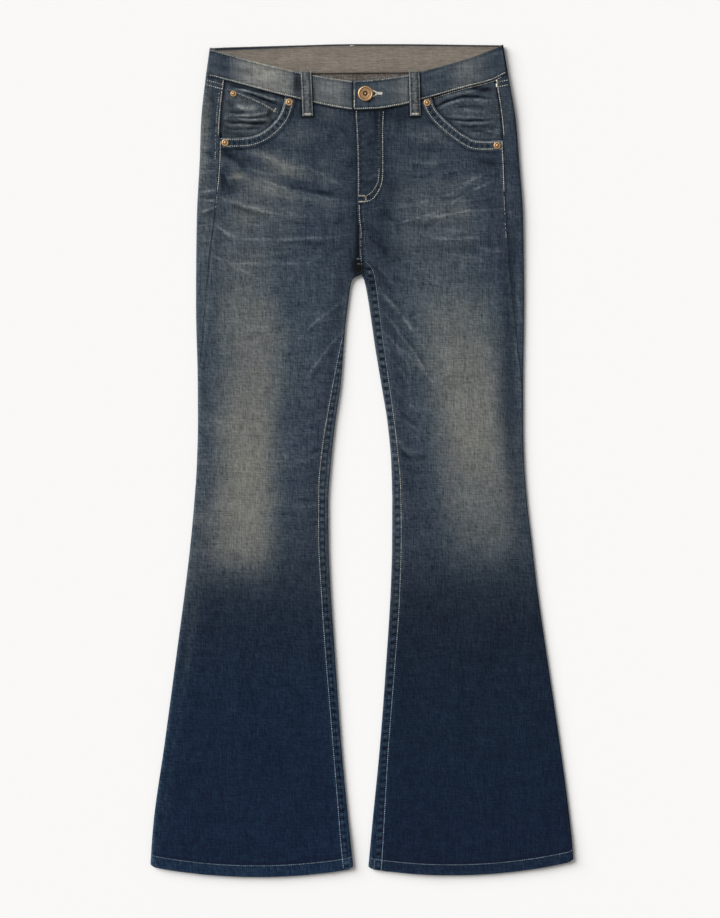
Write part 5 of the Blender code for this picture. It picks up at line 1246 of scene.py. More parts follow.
def pocket_facing(side):
    """Facing: fills the pocket mouth, from under the front to the waistband and the side seam."""
    word = SIDE_NAMES[side]
    mouth = mouth_line(side, SEAM_GAP)
    start_x, end_y = mouth[0, 0] - side * MOUTH_TUCK, mouth[-1, 1] + SEAM_GAP
    corner_y = float(smooth(BAND_EDGES, "front_low", side_seam_x(side, PANEL_TOP_Y, SEAM_GAP))) - SEAM_GAP
    corner_x = float(side_seam_x(side, corner_y, SEAM_GAP))
    waist_x = np.linspace(start_x, corner_x, 60)
    seam_y = np.linspace(corner_y, end_y, 52)[1:]
    waist = np.stack([waist_x, smooth(BAND_EDGES, "front_low", waist_x) - SEAM_GAP], axis=-1)
    far = np.vstack([waist, np.stack([side_seam_x(side, seam_y, SEAM_GAP), seam_y], axis=-1)])
    u = np.linspace(0, 1, len(far))
    near, before, after = (along(mouth, np.clip(u + step, 0, 1)) for step in (0, -0.03, 0.03))
    heading = (after - before) / np.linalg.norm(after - before, axis=1)[:, None]
    tuck = near + side * MOUTH_TUCK * np.stack([heading[:, 1], -heading[:, 0]], axis=-1)
    limit = side_seam_x(side, tuck[:, 1], SEAM_GAP)
    tuck[:, 0] = np.where(limit * side < tuck[:, 0] * side, limit, tuck[:, 0])
    grid = lerp(tuck[:, None], far[:, None], np.linspace(0, 1, 72)[None, :, None])
    x, y = grid[..., 0], grid[..., 1]
    away = from_mouth(side, x, y)
    light, height = facing_folds(side, x, y, away)
    z = facing_z(side, x, y) + height
    colour, worn = washed(x, y)
    # Uneven wash, and painted shade in the hollow under the mouth's edge
    light += 5 * noise(x / 12, y / 4, 95) + 3 * noise(x / 3, y / 12, 97) - 30 * bell(away, 2.8)
    # Painted shadow under the waistband's lower edge
    light -= 54 * bell(smooth(BAND_EDGES, "front_low", x) - y, 3.0)
    light -= 44 * bell((side_seam_x(side, y, SEAM_GAP) - x) * side, 2.0)
    walls = [np.stack([x, y, z - depth], axis=-1) for depth in (0, DENIM)]
    tailored("pocket_facing_", word, walls, blended(colour, hexed("#474d53"), 0.45), light, worn,
             ["back_panel_" + word + "_denim"])


def coin_pocket():
    """Coin pocket: a patch on the right facing, its lower edge running under the front."""
    side, top = RIGHT, spline(COIN_EDGE, 4)
    mouth = mouth_line(side, COIN_INSET)
    mouth = mouth[mouth[:, 1] < COIN_EDGE[0][1]]
    u, v = np.linspace(0, 1, 84), np.concatenate([np.linspace(0, 0.96, 54), [0.975, 0.99, 1.0]])[None, :, None]
    high, low = along(top, u), along(mouth, u) - np.array([0, COIN_TUCK])
    grid = lerp(low[:, None], high[:, None], v)
    x, y = grid[..., 0], grid[..., 1]
    x = side * np.minimum(side * x, side * side_seam_x(side, y, COIN_INSET))
    away, from_edge = from_mouth(side, x, y), np.abs(nearest(top, x, y)[0])
    light, height = facing_folds(side, x, y, away)
    z = facing_z(side, x, y) + height + ON_FACING
    walls = np.stack([x, y, z + FACING - rounded(from_edge)], axis=-1), np.stack([x, y, z], axis=-1)
    colour, worn = washed(x, y)
    light += 40 * (0.6 + 0.4 * noise(x / 4, 0.5, 98)) * bell(from_edge, 1.3) - 12 * bell(from_edge - 3.2, 1.2)
    # Uneven wash, and painted shade where the coin pocket runs under the mouth's edge
    light += 5 * noise(x / 12, y / 4, 96) - 32 * bell(away, 2.8)
    tailored("coin_pocket", "", walls, blended(colour, hexed("#4e5356"), 0.6), light, np.maximum(worn, 0.5),
             ["pocket_facing_right_denim"])


def band_round():
    """Level of the waistband's underside, and the radius of its folds."""
    base = float(levels(WAIST_Y)[0])
    return base, (BAND_TOP_Z - base) / 2


def band_ends(face, share, edge, depth):
    """A row of the waistband's points: share runs from the right fold to the left one, edge is low or high."""
    base, radius = band_round()
    share = np.asarray(share, float)
    y = np.full(share.shape, BAND_MIDDLE_Y)
    for _ in range(4):
        x = lerp(outer_x(RIGHT, y) + radius, outer_x(LEFT, y) - radius, share)
        y = smooth(BAND_EDGES, face + "_" + edge, x)
    return np.stack([x, y, np.full(share.shape, base + depth if face == "back" else BAND_TOP_Z - depth)], axis=-1)


def band_fold(side, edge, angle, depth):
    """A row of the waistband's points round one of its folds."""
    base, radius = band_round()
    y = np.full(angle.shape, BAND_MIDDLE_Y)
    for _ in range(4):
        x = outer_x(side, y)
        y = smooth(BAND_EDGES, "back_" + edge, x)
    turned_x = x - side * radius + side * (radius - depth) * np.cos(angle)
    return np.stack([turned_x, y, base + radius + (radius - depth) * np.sin(angle)], axis=-1)


def share_of(x):
    first, last = (float(band_ends("front", share, "low", 0)[0]) for share in (0.0, 1.0))
    return (x - first) / (last - first)


def buttonhole_gap(x, y):
    """Distance from the buttonhole's slit and its round end."""
    eye = np.hypot(x - BUTTON_XY[0] - 7.5, y - BUTTON_XY[1]) - 3.0
    slit = np.hypot(np.maximum(x - BUTTONHOLE_END_X + 3, 0), y - BUTTON_XY[1] - 0.6) - 0.3
    return np.where(x > BUTTON_XY[0] + 7.5, np.minimum(eye, slit), eye)


def waistband():
    """One band: from its right end under the lap, round the back, to its left end on top of the lap."""
    across = [0, 0.006, 0.016, 0.03, 0.05, *np.linspace(0.08, 0.92, 15), 0.95, 0.97, 0.984, 0.994, 1]
    across = np.array(across)
    foot, lap_flat, left_end = share_of(LAP_FOOT_X), share_of(LAP_FLAT_X), share_of(LAP_LEFT_X)
    quarter = np.linspace(math.pi / 2, -math.pi / 2, 13)[1:-1]
    right = through((share_of(LAP_RIGHT_X), 90), (0, 0))
    left = through((1, 70), (foot, 14), (lap_flat, 28), (left_end, 0))

    def walled(depth):
        low, high = (np.vstack([
            band_ends("front", right, edge, depth), band_fold(RIGHT, edge, quarter, depth),
            band_ends("back", np.linspace(0, 1, 120), edge, depth), band_fold(LEFT, edge, quarter[::-1], depth),
            band_ends("front", left, edge, depth),
        ]) for edge in ("low", "high"))
        rows = lerp(low[:, None], high[:, None], across[None, :, None])
        rows[-len(left):, :, 2] += LAP_RISE * (1 - ramp(lap_flat, foot, left))[:, None]
        return rows

    outer, inner = walled(0), walled(BAND)
    start = len(outer) - len(left)
    x, y = outer[..., 0], outer[..., 1]
    height = np.linalg.norm(outer[:, -1] - outer[:, 0], axis=-1)[:, None]
    from_low, from_high = across[None, :] * height, (1 - across[None, :]) * height
    front = outer[..., 2] > BAND_FRONT_Z
    from_end = np.full(x.shape, FAR)
    from_end[start:] = x[start:] - LAP_LEFT_X
    in_lap = np.arange(len(outer))[:, None] >= start
    light, lift = creases(BAND_CREASES, x, y)
    lumps = rope(x, 101)
    puff = 0.22 * noise(x / 13, y / 9, 102) + 0.35 * lift - 0.3 * bell(from_low - 1.8, 0.9)
    puff += 0.16 * lumps * (bell(from_low - 4, 3) + bell(from_high - 4, 3)) - 0.22 * bell(from_high - 1.8, 0.9)
    puff = np.where(front, settings().crease * puff, 0)
    hole = buttonhole_gap(x, y)
    edge_gap = np.minimum(from_low, from_high)
    round_edge = rounded(np.minimum(edge_gap, np.maximum(from_end, 0)), BAND_ROUND)
    sign = np.where(front, 1.0, -1.0)
    outer[..., 2] += puff - np.where(in_lap, 1.1 * (1 - ramp(0.0, 0.9, hole)), 0) - sign * round_edge
    inner[..., 2] += puff * 0.5 + sign * round_edge * 0.6
    corner = 2.4 * np.clip(1 - from_end / 7, 0, 1) ** 2 * across[None, :] ** 3
    for grid in (outer, inner):
        grid[..., 1] -= corner

    tone = smooth(BAND_TONES, "light", x)
    colour = blended(np.broadcast_to(hexed("#363f4a"), outer.shape), hexed("#86857f"), np.clip(tone / 74, 0, 1))
    light += np.where(tone > 0, tone * 0.2 * (bell(across[None, :] - 0.45, 0.42) - 0.6), tone * 0.6)
    light += 4 * noise(x / 3, y / 24, 103) + 8 * noise(x / 26, y / 3.4, 104) + 4 * noise(x / 10, y / 9, 105)
    light += 26 * bell(from_low - 0.7, 0.9) - 30 * bell(from_low - 3.6, 1.2) * (0.6 + 0.4 * lumps)
    light += (56 - 80 * ramp(74, 90, x)) * bell(from_high - 0.6, 0.8) * (0.7 + 0.3 * noise(x / 5, 0.5, 106))
    light -= 30 * bell(from_high - 3.2, 1.1) * (0.7 + 0.3 * lumps)
    light += 52 * bell(from_end - 0.8, 1.7) * (0.8 + 0.2 * rope(y, 107)) - 26 * bell(from_end - 4.0, 1.4)
    light -= np.where(front, 58 * loop_shade(x, y), 0) + np.where(in_lap, 34 * (1 - ramp(0.2, 1.6, hole)), 0)
    # Painted shade on the band just beside the raised edge of the lap
    light -= np.where(front & ~in_lap, 60 * bell((x - LAP_LEFT_X).clip(None, 0), 2.4), 0)
    tailored("waistband", "", (outer, inner), colour, light, np.clip(0.73 + tone / 170, 0, 1.6),
             ["back_yoke_right_denim", "front_panel_left_denim"], lining=TAUPE_DARK)


def waistband_facing():
    """Inner face of the back waistband, seen above the dipped front."""
    share, width = np.linspace(0.012, 0.988, 130), 37
    across = np.concatenate([[0, 0.01, 0.03], np.linspace(0.06, 0.94, 14), [0.97, 0.99, 1]])[None, :, None]
    low, high = (band_ends("back", share, edge, 0) + np.array([0, inset, BAND + SEAM_GAP])
                 for edge, inset in (("low", 0.5), ("high", -1.0)))
    inner = lerp(low[:, None], high[:, None], across)
    x, y = inner[..., 0], inner[..., 1]
    height = across[..., 0] * width
    edge = np.minimum(height, width - height)
    inner[..., 2] += 0.25 * np.maximum(noise(x / 15, y / 11, 111), 0) + 0.12 * (1 + rope(x, 112)) * bell(edge - 3, 2.5)
    outer = inner + np.array([0, 0, FACING])
    outer[..., 2] -= rounded(edge, 0.6)
    light = 4 * noise(x / 40, y / 14, 113) + 3 * noise(x / 3, y / 30, 114) + 5 * bell(y - 541, 12)
    light -= 16 * bell(width - height, 2.2) + 12 * bell(height, 2.0) + 8 * ramp(120, 190, np.abs(x))
    colour = np.broadcast_to(np.asarray(settings().wrong_side), (*x.shape, 3))
    # The band's dark upper edge rolls over onto its inner face
    rolled = 1.7 + 1.5 * ramp(60, 200, -x)
    colour = blended(colour, hexed("#28303b"), 1 - ramp(rolled - 0.7, rolled + 0.7, width - height))
    tailored("waistband_facing", "", (outer, inner), colour, light, np.full(x.shape, 0.6), ["waistband_denim"],
             slot="denim_inside")


def belt_loop(name, face, upper_x, lower_x, high_y):
    """A strap over the waistband. In front it arches off the band; at the back it lies under it."""
    v = np.array([-1, -0.985, -0.95, -0.9, -0.8, -0.62, -0.4, -0.2, 0, 0.2, 0.4, 0.62, 0.8, 0.9, 0.95, 0.985, 1])
    t = np.concatenate([[0, 0.004, 0.012, 0.022], np.linspace(0.035, 0.965, 46), [0.978, 0.988, 0.996, 1]])[:, None]
    middle = lerp(lower_x, upper_x, t)
    x = middle + v[None, :] * LOOP_WIDTH / 2
    y = np.broadcast_to(lerp(high_y - LOOP_LENGTH, high_y, t), x.shape)
    off_middle = np.abs(v)
    edge = np.minimum((1 - off_middle)[None, :] * LOOP_WIDTH / 2, np.minimum(t, 1 - t) * LOOP_LENGTH)
    groove = bell(off_middle - 0.66, 0.1)[None, :]
    lumps = rope(y, 121 + len(name))
    if face == "front":
        at = np.broadcast_to(middle, x.shape)
        on_panel = levels(y)[1] + relief(at, y) + SEAM_GAP
        seam_y = smooth(BAND_EDGES, "front_low", at)
        arch = LOOP_ARCH * np.sin(math.pi * ramp(*LOOP_ARCHED, np.broadcast_to(t, x.shape)))
        climb = ramp(seam_y - LOOP_CLIMB[0], seam_y - LOOP_CLIMB[1], y)
        low = lerp(on_panel, BAND_TOP_Z + SEAM_GAP, climb) + arch
        domed = 0.35 * (1 - (off_middle / 0.7) ** 4).clip(-0.6, 1)[None, :]
        high = low + LOOP_CLOTH + domed - rounded(edge, 0.6) - 0.2 * groove * (0.7 + 0.3 * lumps)
    else:
        low, high = rounded(edge, 0.5), LOOP_CLOTH - rounded(edge, 0.6)
    from_low, from_high = t * LOOP_LENGTH, (1 - t) * LOOP_LENGTH
    light = 58 * bell(1 - off_middle, 0.16)[None, :] - 46 * groove * (0.45 + 0.55 * lumps)
    light -= 44 * bell(off_middle - 0.34, 0.13)[None, :] * np.maximum(rope(y, 123 + len(name), 4.2), -0.2)
    light += 20 * noise(x / 2.2, y / 2.6, 122) + 14 * bell(v, 0.3)[None, :]
    light += 20 * bell(from_high, 1.6) - 12 * bell(from_low - 5, 2)
    colour = np.broadcast_to(hexed("#4d5257"), (*x.shape, 3))
    walls = np.stack([x, y, high], axis=-1), np.stack([x, y, low], axis=-1)
    tailored("belt_loop_", name, walls, colour, light, np.full(x.shape, 0.5), ["waistband_denim"])


# ---- metal and thread


def turned(name, node_name, profile, scale=1.0):
    """A metal piece turned about its own axis; each profile point has a radius, a height and how rubbed it is."""
    low, high = (np.array(corner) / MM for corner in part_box(node_name))
    centre = (low + high) / 2
    radius, height, rubbed = np.array(profile, float).T
    angle = np.arange(TURNED_STEPS) * 2 * math.pi / TURNED_STEPS
    x = centre[0] + np.outer(radius * scale, np.cos(angle))
    y = centre[1] + np.outer(radius * scale, np.sin(angle))
    z = np.broadcast_to((low[2] + height * scale)[:, None], x.shape)
    vertices = np.stack([x, y, z], axis=-1).reshape(-1, 3)
    ring, a = np.divmod(np.arange(len(vertices) - TURNED_STEPS), TURNED_STEPS)
    near, far, b = ring * TURNED_STEPS, (ring + 1) * TURNED_STEPS, (a + 1) % TURNED_STEPS
    faces = np.stack([near + a, near + b, far + b, far + a], axis=1).tolist()
    ends = list(range(len(vertices)))
    faces += [ends[:TURNED_STEPS][::-1], ends[-TURNED_STEPS:]]
    piece = add_piece(name, vertices, faces, copper_look(), [node_name])
    piece.data.set_sharp_from_angle(angle=METAL_SHARP)
    colour_piece(piece, np.full((len(vertices), 3), 0.5), np.repeat(rubbed, TURNED_STEPS))


def cloth_tree(loops):
    """The surfaces to lay stitches on: the belt loops', or all the other cloth's."""
    points, quads, count = [], [], 0
    for piece in bpy.context.scene.objects:
        if not piece.name.endswith(("_denim", "_twill")) or piece.name.startswith("belt_loop") != loops:
            continue
        data = piece.data
        spots, corners = np.empty(len(data.vertices) * 3), np.empty(len(data.loops), int)
        data.vertices.foreach_get("co", spots)
        data.loops.foreach_get("vertex_index", corners)
        quads.append(corners.reshape(-1, 4) + count)
        points.append(spots.reshape(-1, 3) / MM)
        count += len(data.vertices)
    return BVHTree.FromPolygons(np.concatenate(points).tolist(), np.concatenate(quads).tolist())


def landed(tree, x, y, below):
    """Where a line straight down onto the cloth, or straight up from below, meets it."""
    start, way = (UNDER_ALL, 1) if below else (OVER_ALL, -1)
    hit = tree.ray_cast(Vector((x, y, start)), Vector((0, 0, way)))[0]
    return None if hit is None else np.array(hit)


def sewn(name, tree, rows, over=None):
    """Joined stitches laid on the cloth along rows, apart from where they would pass under what is over it."""
    sizes = settings()
    usual = {"length": sizes.stitch_length / MM, "pitch": sizes.stitch_pitch / MM, "radius": sizes.thread_radius / MM,
             "gaps": 0.0, "below": False, "crosswise": False}
    t, share, lift = np.array(STITCH_RINGS).T
    vertices, faces, tones = [], [], []
    for number, row in enumerate(rows):
        row = {**usual, **row}
        line, below, out = np.array(row["line"], float), row["below"], -1.0 if row["below"] else 1.0
        total = np.linalg.norm(np.diff(line, axis=0), axis=1).sum()
        count = max(1, int(total / row["pitch"]))
        middles = (np.arange(count) + 0.5) / count
        spots = zip(*(along(line, np.clip(middles + step / total, 0, 1)) for step in (0, 0.3, -0.3)))
        for k, (centre, head, tail) in enumerate(spots):
            if lattice(k, number, 7.0 + len(name)) < row["gaps"]:
                continue
            if over is not None and landed(over, *centre, below) is not None:
                continue
            way = (head - tail) / (np.hypot(*(head - tail)) or 1.0)
            if row["crosswise"]:
                way = np.array([-way[1], way[0]])
            ends = [landed(tree, *(centre + way * (at - 0.5) * row["length"]), below) for at in (0.0, 0.5, 1.0)]
            if any(end is None for end in ends) or np.ptp([end[2] for end in ends]) > STITCH_STEP:
                continue
            a, middle, b = ends
            level = (1 - t) * (1 - 2 * t) * a[2] + 4 * t * (1 - t) * middle[2] + t * (2 * t - 1) * b[2]
            level = level + out * (lift - (0.2 if below else 0.0))
            axis = np.stack([lerp(a[0], b[0], t), lerp(a[1], b[1], t), level], axis=-1)
            section = np.stack([-way[1] * STITCH_ROUND[0], way[0] * STITCH_ROUND[0], STITCH_ROUND[1]], axis=-1)
            faces += [[len(vertices) * STITCH_POINTS + corner for corner in face] for face in STITCH_FACES]
            vertices.append((axis[:, None] + row["radius"] * share[:, None, None] * section).reshape(-1, 3))
            tones.append(row["tone"] * (0.74 + 0.40 * lattice(k, number, 3.0)))
    vertices = np.concatenate(vertices)
    piece = add_piece(name, vertices, faces, thread_look())
    # Low on the legs and at the fork the thread has taken up some of the dark wash
    y = vertices[:, 1]
    blued = np.maximum(1 - ramp(-330, 0, y), ramp(40, 140, y) * (1 - ramp(262, 300, y)))
    shade = np.asarray(sizes.thread) * np.repeat(tones, STITCH_POINTS)[:, None]
    colour_piece(piece, shade * lerp(1.0, THREAD_BLUED, blued[:, None]), np.full(len(vertices), 0.5))


def shifted(line, gap):
    """A line moved sideways, to its left where the gap is positive."""
    line = np.asarray(line, float)
    way = np.gradient(line, axis=0)
    way = way / np.linalg.norm(way, axis=1)[:, None]
    return line + gap * np.stack([-way[:, 1], way[:, 0]], axis=-1)


def column(x_at, low, high, steps=60):
    y = np.linspace(low, high, steps)
    return np.stack([np.broadcast_to(x_at(y), y.shape), y], axis=-1)


def row_line(y_at, low, high, steps=80):
    x = np.linspace(low, high, steps)
    return np.stack([x, np.broadcast_to(y_at(x), x.shape)], axis=-1)


def bar(x, y, span, degrees, tone, **more):
    """A bartack: short stitches side by side along a bar."""
    c, s = math.cos(math.radians(degrees)) * span / 2, math.sin(math.radians(degrees)) * span / 2
    size = {"pitch": 0.75, "length": 2.4, "radius": 0.45, "crosswise": True, **more}
    return stitched([(x - c, y - s), (x, y), (x + c, y + s)], tone, **size)


def stitched(line, tone=1.0, **more):
    """A row of stitches: its line, the lightness of its thread, and what differs from the usual stitch."""
    return {"line": line, "tone": tone, **more}


def leg_rows(side):
    """Rows of stitches down the inside leg, and round the hem."""
    def inseam(low, high, steps, tone):
        return stitched(column(lambda y: smooth(INSEAM_STITCH, SIDE_NAMES[side], y), low, high, steps), tone)

    inner, outer = sorted((inner_x(side, -545.0) + side * 1.5, outer_x(side, -535.0) - side * 1.5))
    hem = row_line(lambda x: hem_y(side, x) + HEM_STITCH[side], inner, outer, 120)
    rows = [stitched([(16.6, -553), (16.9, -539)], 0.7), inseam(120, 268, 60, 0.8)] if side == LEFT else []
    return rows + [
        inseam(-553, 120 if side == LEFT else 166, 160, 0.92),
        stitched(hem, 0.8, radius=0.44),
        stitched(hem, 0.8, below=True),
    ]


def pocket_rows(side):
    """Two rows round the pocket mouth, and one or two down the side seam beside it and below it."""
    mouth = spline(MOUTH[side], 8)
    limit = smooth(BAND_EDGES, "front_low", mouth[:, 0]) - 2
    mouth = mouth[(mouth[:, 1] < limit) & (side * mouth[:, 0] < side * side_seam_x(side, mouth[:, 1], 1.0))]
    rows = [stitched(shifted(mouth, -side * gap), tone) for gap, tone in zip(MOUTH_STITCHES, (0.98, 1.02))]
    for gap, low, high, steps, tone, more in SIDE_STITCHES[side]:
        rows.append(stitched(column(lambda y, g=gap: side_seam_x(side, y, g), low, high, steps), tone, **more))
    return rows


def band_rows(face, below):
    """Rows along the lower and upper edges of the waistband's front or back."""
    rows = []
    if face == "front":
        rows.append(stitched(row_line(lambda x: smooth(BAND_EDGES, "front_low", x) - 2.0, 83, 188, 60), 0.85))
    spans = {"front": ((-205, LAP_LEFT_X - 1), (LAP_LEFT_X + 1.5, 193)), "back": ((-205, 190),)}[face]
    for low, high in spans:
        for edge, gap, tone in (("low", 1.7, 1.08), ("high", -1.6, 0.82)):
            end = 66 if face == "front" and edge == "high" and high > 0 else high
            line = row_line(lambda x, e=edge, g=gap: smooth(BAND_EDGES, face + "_" + e, x) + g, low, end, 120)
            gaps = 0.12 if edge == "high" and not below else 0.0
            rows.append(stitched(line, tone * (0.8 if below else 1), below=below, gaps=gaps))
    return rows


# ---- operators


def number_property(name, description, default, **more):
    return bpy.props.FloatProperty(name=name, description=description, default=default, **more)


def colour_property(name, description, default):
    return bpy.props.FloatVectorProperty(
        name=name, description=description, default=tuple(hexed(default)), subtype="COLOR_GAMMA", size=3, min=0, max=1
    )


class JeansSettings(bpy.types.PropertyGroup):
    fade: number_property("Fade", "Strength of the worn places", 1.0, min=0, max=1.5, subtype="FACTOR")
    crease: number_property("Creases", "Height of the creases and puckers", 1.0, min=0, max=1.5, subtype="FACTOR")
    stitch_length: number_property("Stitch length", "Length of thread seen in a stitch", 2.2 * MM, unit="LENGTH")
    stitch_pitch: number_property("Stitch pitch", "Distance from stitch to stitch", 2.8 * MM, unit="LENGTH")
    thread_radius: number_property("Thread radius", "Half the thickness of the thread", 0.5 * MM, unit="LENGTH")
    thread: colour_property("Thread", "Colour of the sewing thread", THREAD_PALE)
    worn_denim: colour_property("Worn denim", "Colour of the denim where it is most worn", OLIVE)
    wrong_side: colour_property("Wrong side", "Colour of the inside of the waistband", TAUPE)
    copper: colour_property("Copper", "Colour of the button and rivets where they are rubbed", "#c8a276")
    patina: colour_property("Patina", "Colour of the button and rivets in their hollows", "#70553a")
    key: number_property("Key light", "Strength of the light from the upper left", 4.34, min=0)
    sky: number_property("Surrounding light", "Strength of the even light all round", 0.30, min=0)
    camera_height: number_property("Camera height", "Height of the camera over the jeans", 3.0, unit="LENGTH")
    view_height: number_property("View height", "Length of surface that the picture takes in", 1.2393, unit="LENGTH")


class JEANS_OT_legs(bpy.types.Operator):
    """Makes the front and back panels, the yokes and the turned hems"""

    bl_idname = "jeans.legs"
    bl_label = "Legs"

    def execute(self, context):
        for side in (RIGHT, LEFT):
            front_panel(side)
            back_panel(side)
            back_yoke(side)
            hem_turn(side)
        return {"FINISHED"}


class JEANS_OT_pockets(bpy.types.Operator):
    """Makes the pocket facings and the coin pocket"""

    bl_idname = "jeans.pockets"
    bl_label = "Pockets"

    def execute(self, context):
        for side in (RIGHT, LEFT):
            pocket_facing(side)
        coin_pocket()
        return {"FINISHED"}


class JEANS_OT_waistband(bpy.types.Operator):
    """Makes the waistband, its inner face and the belt loops"""

    bl_idname = "jeans.waistband"
    bl_label = "Waistband"

    def execute(self, context):
        waistband()
        waistband_facing()
        for row in LOOPS[1:]:
            belt_loop(*row)
        return {"FINISHED"}


class JEANS_OT_metal(bpy.types.Operator):
    """Makes the button and the rivets"""

    bl_idname = "jeans.metal"
    bl_label = "Button and rivets"

    def execute(self, context):
        turned("button_cap", "button", BUTTON_TURNING)
        for name, scale in RIVET_SCALES:
            turned(name + "_cap", name, RIVET_TURNING, scale)
        return {"FINISHED"}


class JEANS_OT_thread(bpy.types.Operator):
    """Sews the rows of stitches, the bartacks and the buttonhole"""

    bl_idname = "jeans.thread"
    bl_label = "Thread"

    def execute(self, context):
        tree, loops = cloth_tree(False), cloth_tree(True)
        for side in (RIGHT, LEFT):
            sewn("thread_leg_" + SIDE_NAMES[side], tree, leg_rows(side))
            sewn("thread_pocket_" + SIDE_NAMES[side], tree, pocket_rows(side), loops)
        end_row = stitched(column(lambda y: LAP_LEFT_X + 1.7, 474.5, 511, 20), 1.12, pitch=2.3, radius=0.56)
        sewn("thread_waistband", tree, band_rows("front", False) + [end_row], loops)
        sewn("thread_waistband_back", tree, band_rows("back", True), loops)
        sewn("thread_fly", tree, fly_rows())
        sewn("thread_loops", loops, loop_rows())
        sewn("thread_coin_and_yokes", tree, small_rows())
        sewn("thread_buttonhole", tree, buttonhole_rows())
        return {"FINISHED"}


class JEANS_OT_stage(bpy.types.Operator):
    """Sets the floor, the light and the camera"""

    bl_idname = "jeans.stage"
    bl_label = "Stage"

    def execute(self, context):
        stage()
        return {"FINISHED"}


class JEANS_PT_panel(bpy.types.Panel):
    """Lists the settings and the pieces"""

    bl_idname = "JEANS_PT_panel"
    bl_label = "Flared jeans"
    bl_space_type = "VIEW_3D"
    bl_region_type = "UI"
    bl_category = "Jeans"

    def draw(self, context):
        for name in JeansSettings.__annotations__:
            self.layout.prop(context.scene.jeans, name)
        for made in OPERATORS:
            self.layout.operator(made.bl_idname)


OPERATORS = (
    JEANS_OT_legs, JEANS_OT_pockets, JEANS_OT_waistband, JEANS_OT_metal, JEANS_OT_thread, JEANS_OT_stage,
)
CLASSES = (JeansSettings, *OPERATORS, JEANS_PT_panel)


def fly_rows():
    """The fly's left edge, its J, and the double row and bars of the crotch seam."""
    crotch, inner = spline(CROTCH_STITCH, 6), spline(FLY_INNER, 6)
    return [
        stitched(column(lambda y: smooth(CENTRE, "front", y) + 1.9, 357, 471), 0.98),
        stitched(spline(FLY_OUTER, 6), 1.04),
        stitched(inner[14:], 0.92),
        stitched(inner[:14], 0.42, gaps=0.3),
        stitched(crotch[:19], 0.98),
        stitched(crotch[18:], 0.86, gaps=0.06),
        stitched(crotch[:25] + np.array([5.2, 0]), 0.5, gaps=0.15),
        bar(-0.4, 356.3, 9, 0, 0.8), bar(-0.4, 348.5, 9, 0, 0.9), bar(5.4, 352.3, 8, 90, 0.75),
        bar(-4.0, 271.5, 6, 0, 0.6), bar(-3.0, 264.8, 6, 0, 0.5),
    ]


def loop_rows():
    """Two rows down each belt loop, and its bars."""
    rows = []
    for _, face, upper_x, lower_x, high_y in LOOPS[1:]:
        below, low_y, middle_x = face == "back", high_y - LOOP_LENGTH, (lower_x + upper_x) / 2
        for gap in (-4.5, 4.5):
            line = [(lower_x + gap, low_y + 4), (middle_x + gap, low_y + 30), (upper_x + gap, high_y - 2)]
            rows.append(stitched(line, 0.8 if below else 0.22, below=below))
        width, rise, drop, long = LOOP_WIDTH - 4.5, *((2, 3, 2.4) if below else (2.4, 1.6, 3.6))
        rows.append(bar(lower_x, low_y + rise, width, 0, 0.95, below=below, length=long))
        rows.append(bar(upper_x, high_y - drop, width, 0, 0.6, below=below))
    return rows


def small_rows():
    """The coin pocket's edge, the yoke seams and the seat seam, and the tacks at the centre back."""
    coin, hidden = spline(COIN_EDGE, 6), {"tone": 0.8, "below": True}
    rows = [stitched(shifted(coin, 1.6)[1:-5], 0.98, gaps=0.1), stitched(shifted(coin, 4.6)[2:-5], 0.42, gaps=0.3),
            bar(-117.4, 472.0, 6, 60, 0.95)]
    for side in (RIGHT, LEFT):
        fold, seam = float(outer_x(side, YOKE_FOLD_Y)), float(side_seam_x(side, YOKE_FOLD_Y, 0))
        strip = sorted((fold - side * 3.0, seam + side * 1.0))
        seat = sorted((fold - side * 6, float(smooth(CENTRE, "back", YOKE_CENTRE_Y)) + side * 4))
        for gap, tone in ((1.6, 1.04), (8.0, 0.95)):
            for on_front, span, steps, more in ((True, strip, 12, {"tone": tone}), (False, seat, 60, hidden)):
                line = row_line(lambda x, s=side, f=on_front, g=gap: yoke_y(s, x, f) + g, *span, steps)
                rows.append(stitched(line, **more))
        if side == LEFT:
            rows.append(bar(seam + 0.5, 507.5, 9, 90, 1.2, radius=0.6))
    for gap in (1.8, 8.0):
        rows.append(stitched(column(lambda y, g=gap: smooth(CENTRE, "back", y) + g, 262, 446), **hidden))
    return rows + [bar(x, 559.4, 2.6, 0, 1.15) for x in (-14.6, -11.6)]


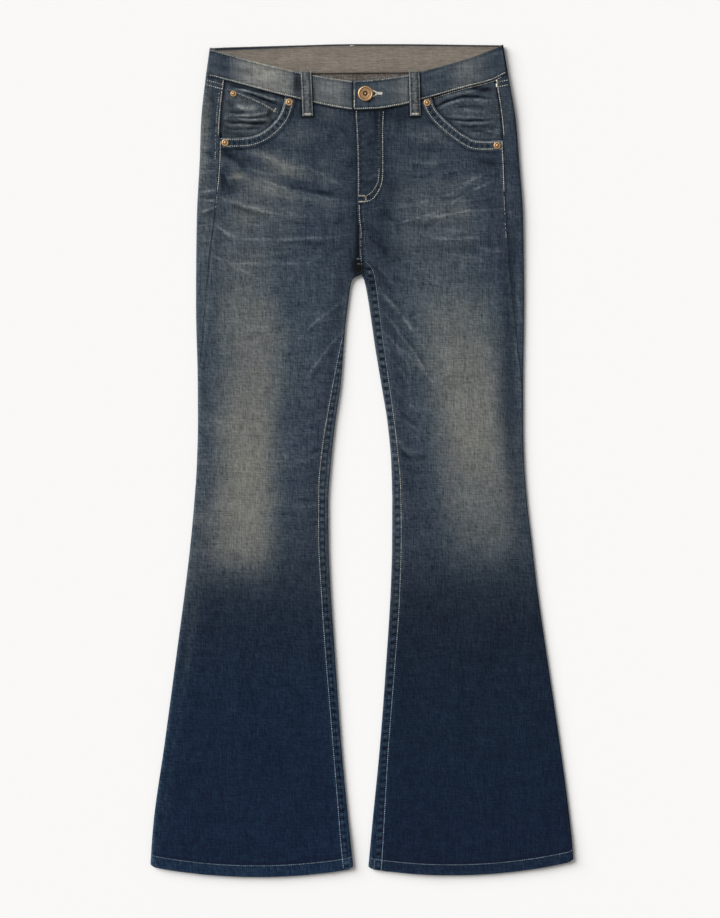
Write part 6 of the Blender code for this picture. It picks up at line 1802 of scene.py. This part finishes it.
def buttonhole_rows():
    """Satin stitches round the buttonhole."""
    x, y = BUTTON_XY[0], BUTTON_XY[1] + 0.6
    stitch = {"pitch": 0.62, "length": 2.6, "crosswise": True, "tone": 1.16}
    return [
        stitched([(x + dx, y + dy) for dx, dy in line], radius=radius, **stitch)
        for radius, *line in (
            (0.42, (7.0, 4.6), (11.5, 3.1), (15.2, 1.0)),
            (0.42, (7.4, -4.8), (11.5, -3.4), (15.2, -1.0)),
            (0.5, (14.2, 0.7), (18.5, 0.8), (22.6, 0.7)),
            (0.5, (14.2, -0.7), (18.5, -0.6), (22.6, -0.5)),
        )
    ]


def placed(name, data):
    """An object of the stage, linked to the scene."""
    made = bpy.data.objects.new(name, data)
    bpy.context.scene.collection.objects.link(made)
    return made


def stage():
    """A plain pale floor, an even surrounding light, a broad key from the upper left, and the camera overhead."""
    sizes, scene = settings(), bpy.context.scene
    data = bpy.data.meshes.new("floor")
    corners = [(x * FLOOR_HALF, y * FLOOR_HALF, FLOOR_Z * MM) for x, y in ((-1, -1), (1, -1), (1, 1), (-1, 1))]
    data.from_pydata(corners, [], [(0, 1, 2, 3)])
    # Matt white paper, calendered: even and soft, without gloss
    paper = {"Base Color": (*linear(hexed("#f9f8f7")), 1), "Roughness": 0.95, "Specular IOR Level": 0.1}
    data.materials.append(new_look("matt_white_paper", lambda look: paper))
    floor = placed("floor", data)

    scene.world = bpy.data.worlds.new("studio")
    scene.world.use_nodes = True
    background = scene.world.node_tree.nodes["Background"].inputs
    background["Color"].default_value = (1.0, 0.995, 0.985, 1)
    background["Strength"].default_value = sizes.sky

    key = bpy.data.lights.new("key", "SUN")
    key.energy, key.angle = sizes.key, KEY_WIDTH
    placed("key", key).rotation_euler = Vector(KEY_FROM).to_track_quat("Z", "Y").to_euler()

    lens = bpy.data.cameras.new("camera")
    lens.sensor_width = SENSOR
    lens.lens = lens.sensor_width * sizes.camera_height / sizes.view_height
    scene.camera = placed("camera", lens)
    scene.camera.location = (*CAMERA_XY, sizes.camera_height)
    scene.view_settings.view_transform = "Standard"


def register():
    for made in CLASSES:
        bpy.utils.register_class(made)
    bpy.types.Scene.jeans = bpy.props.PointerProperty(type=JeansSettings)


def unregister():
    del bpy.types.Scene.jeans
    for made in reversed(CLASSES):
        bpy.utils.unregister_class(made)


def main():
    register()
    bpy.ops.jeans.legs()
    bpy.ops.jeans.pockets()
    bpy.ops.jeans.waistband()
    bpy.ops.jeans.metal()
    bpy.ops.jeans.thread()
    bpy.ops.jeans.stage()


if __name__ == "__main__":
    main()
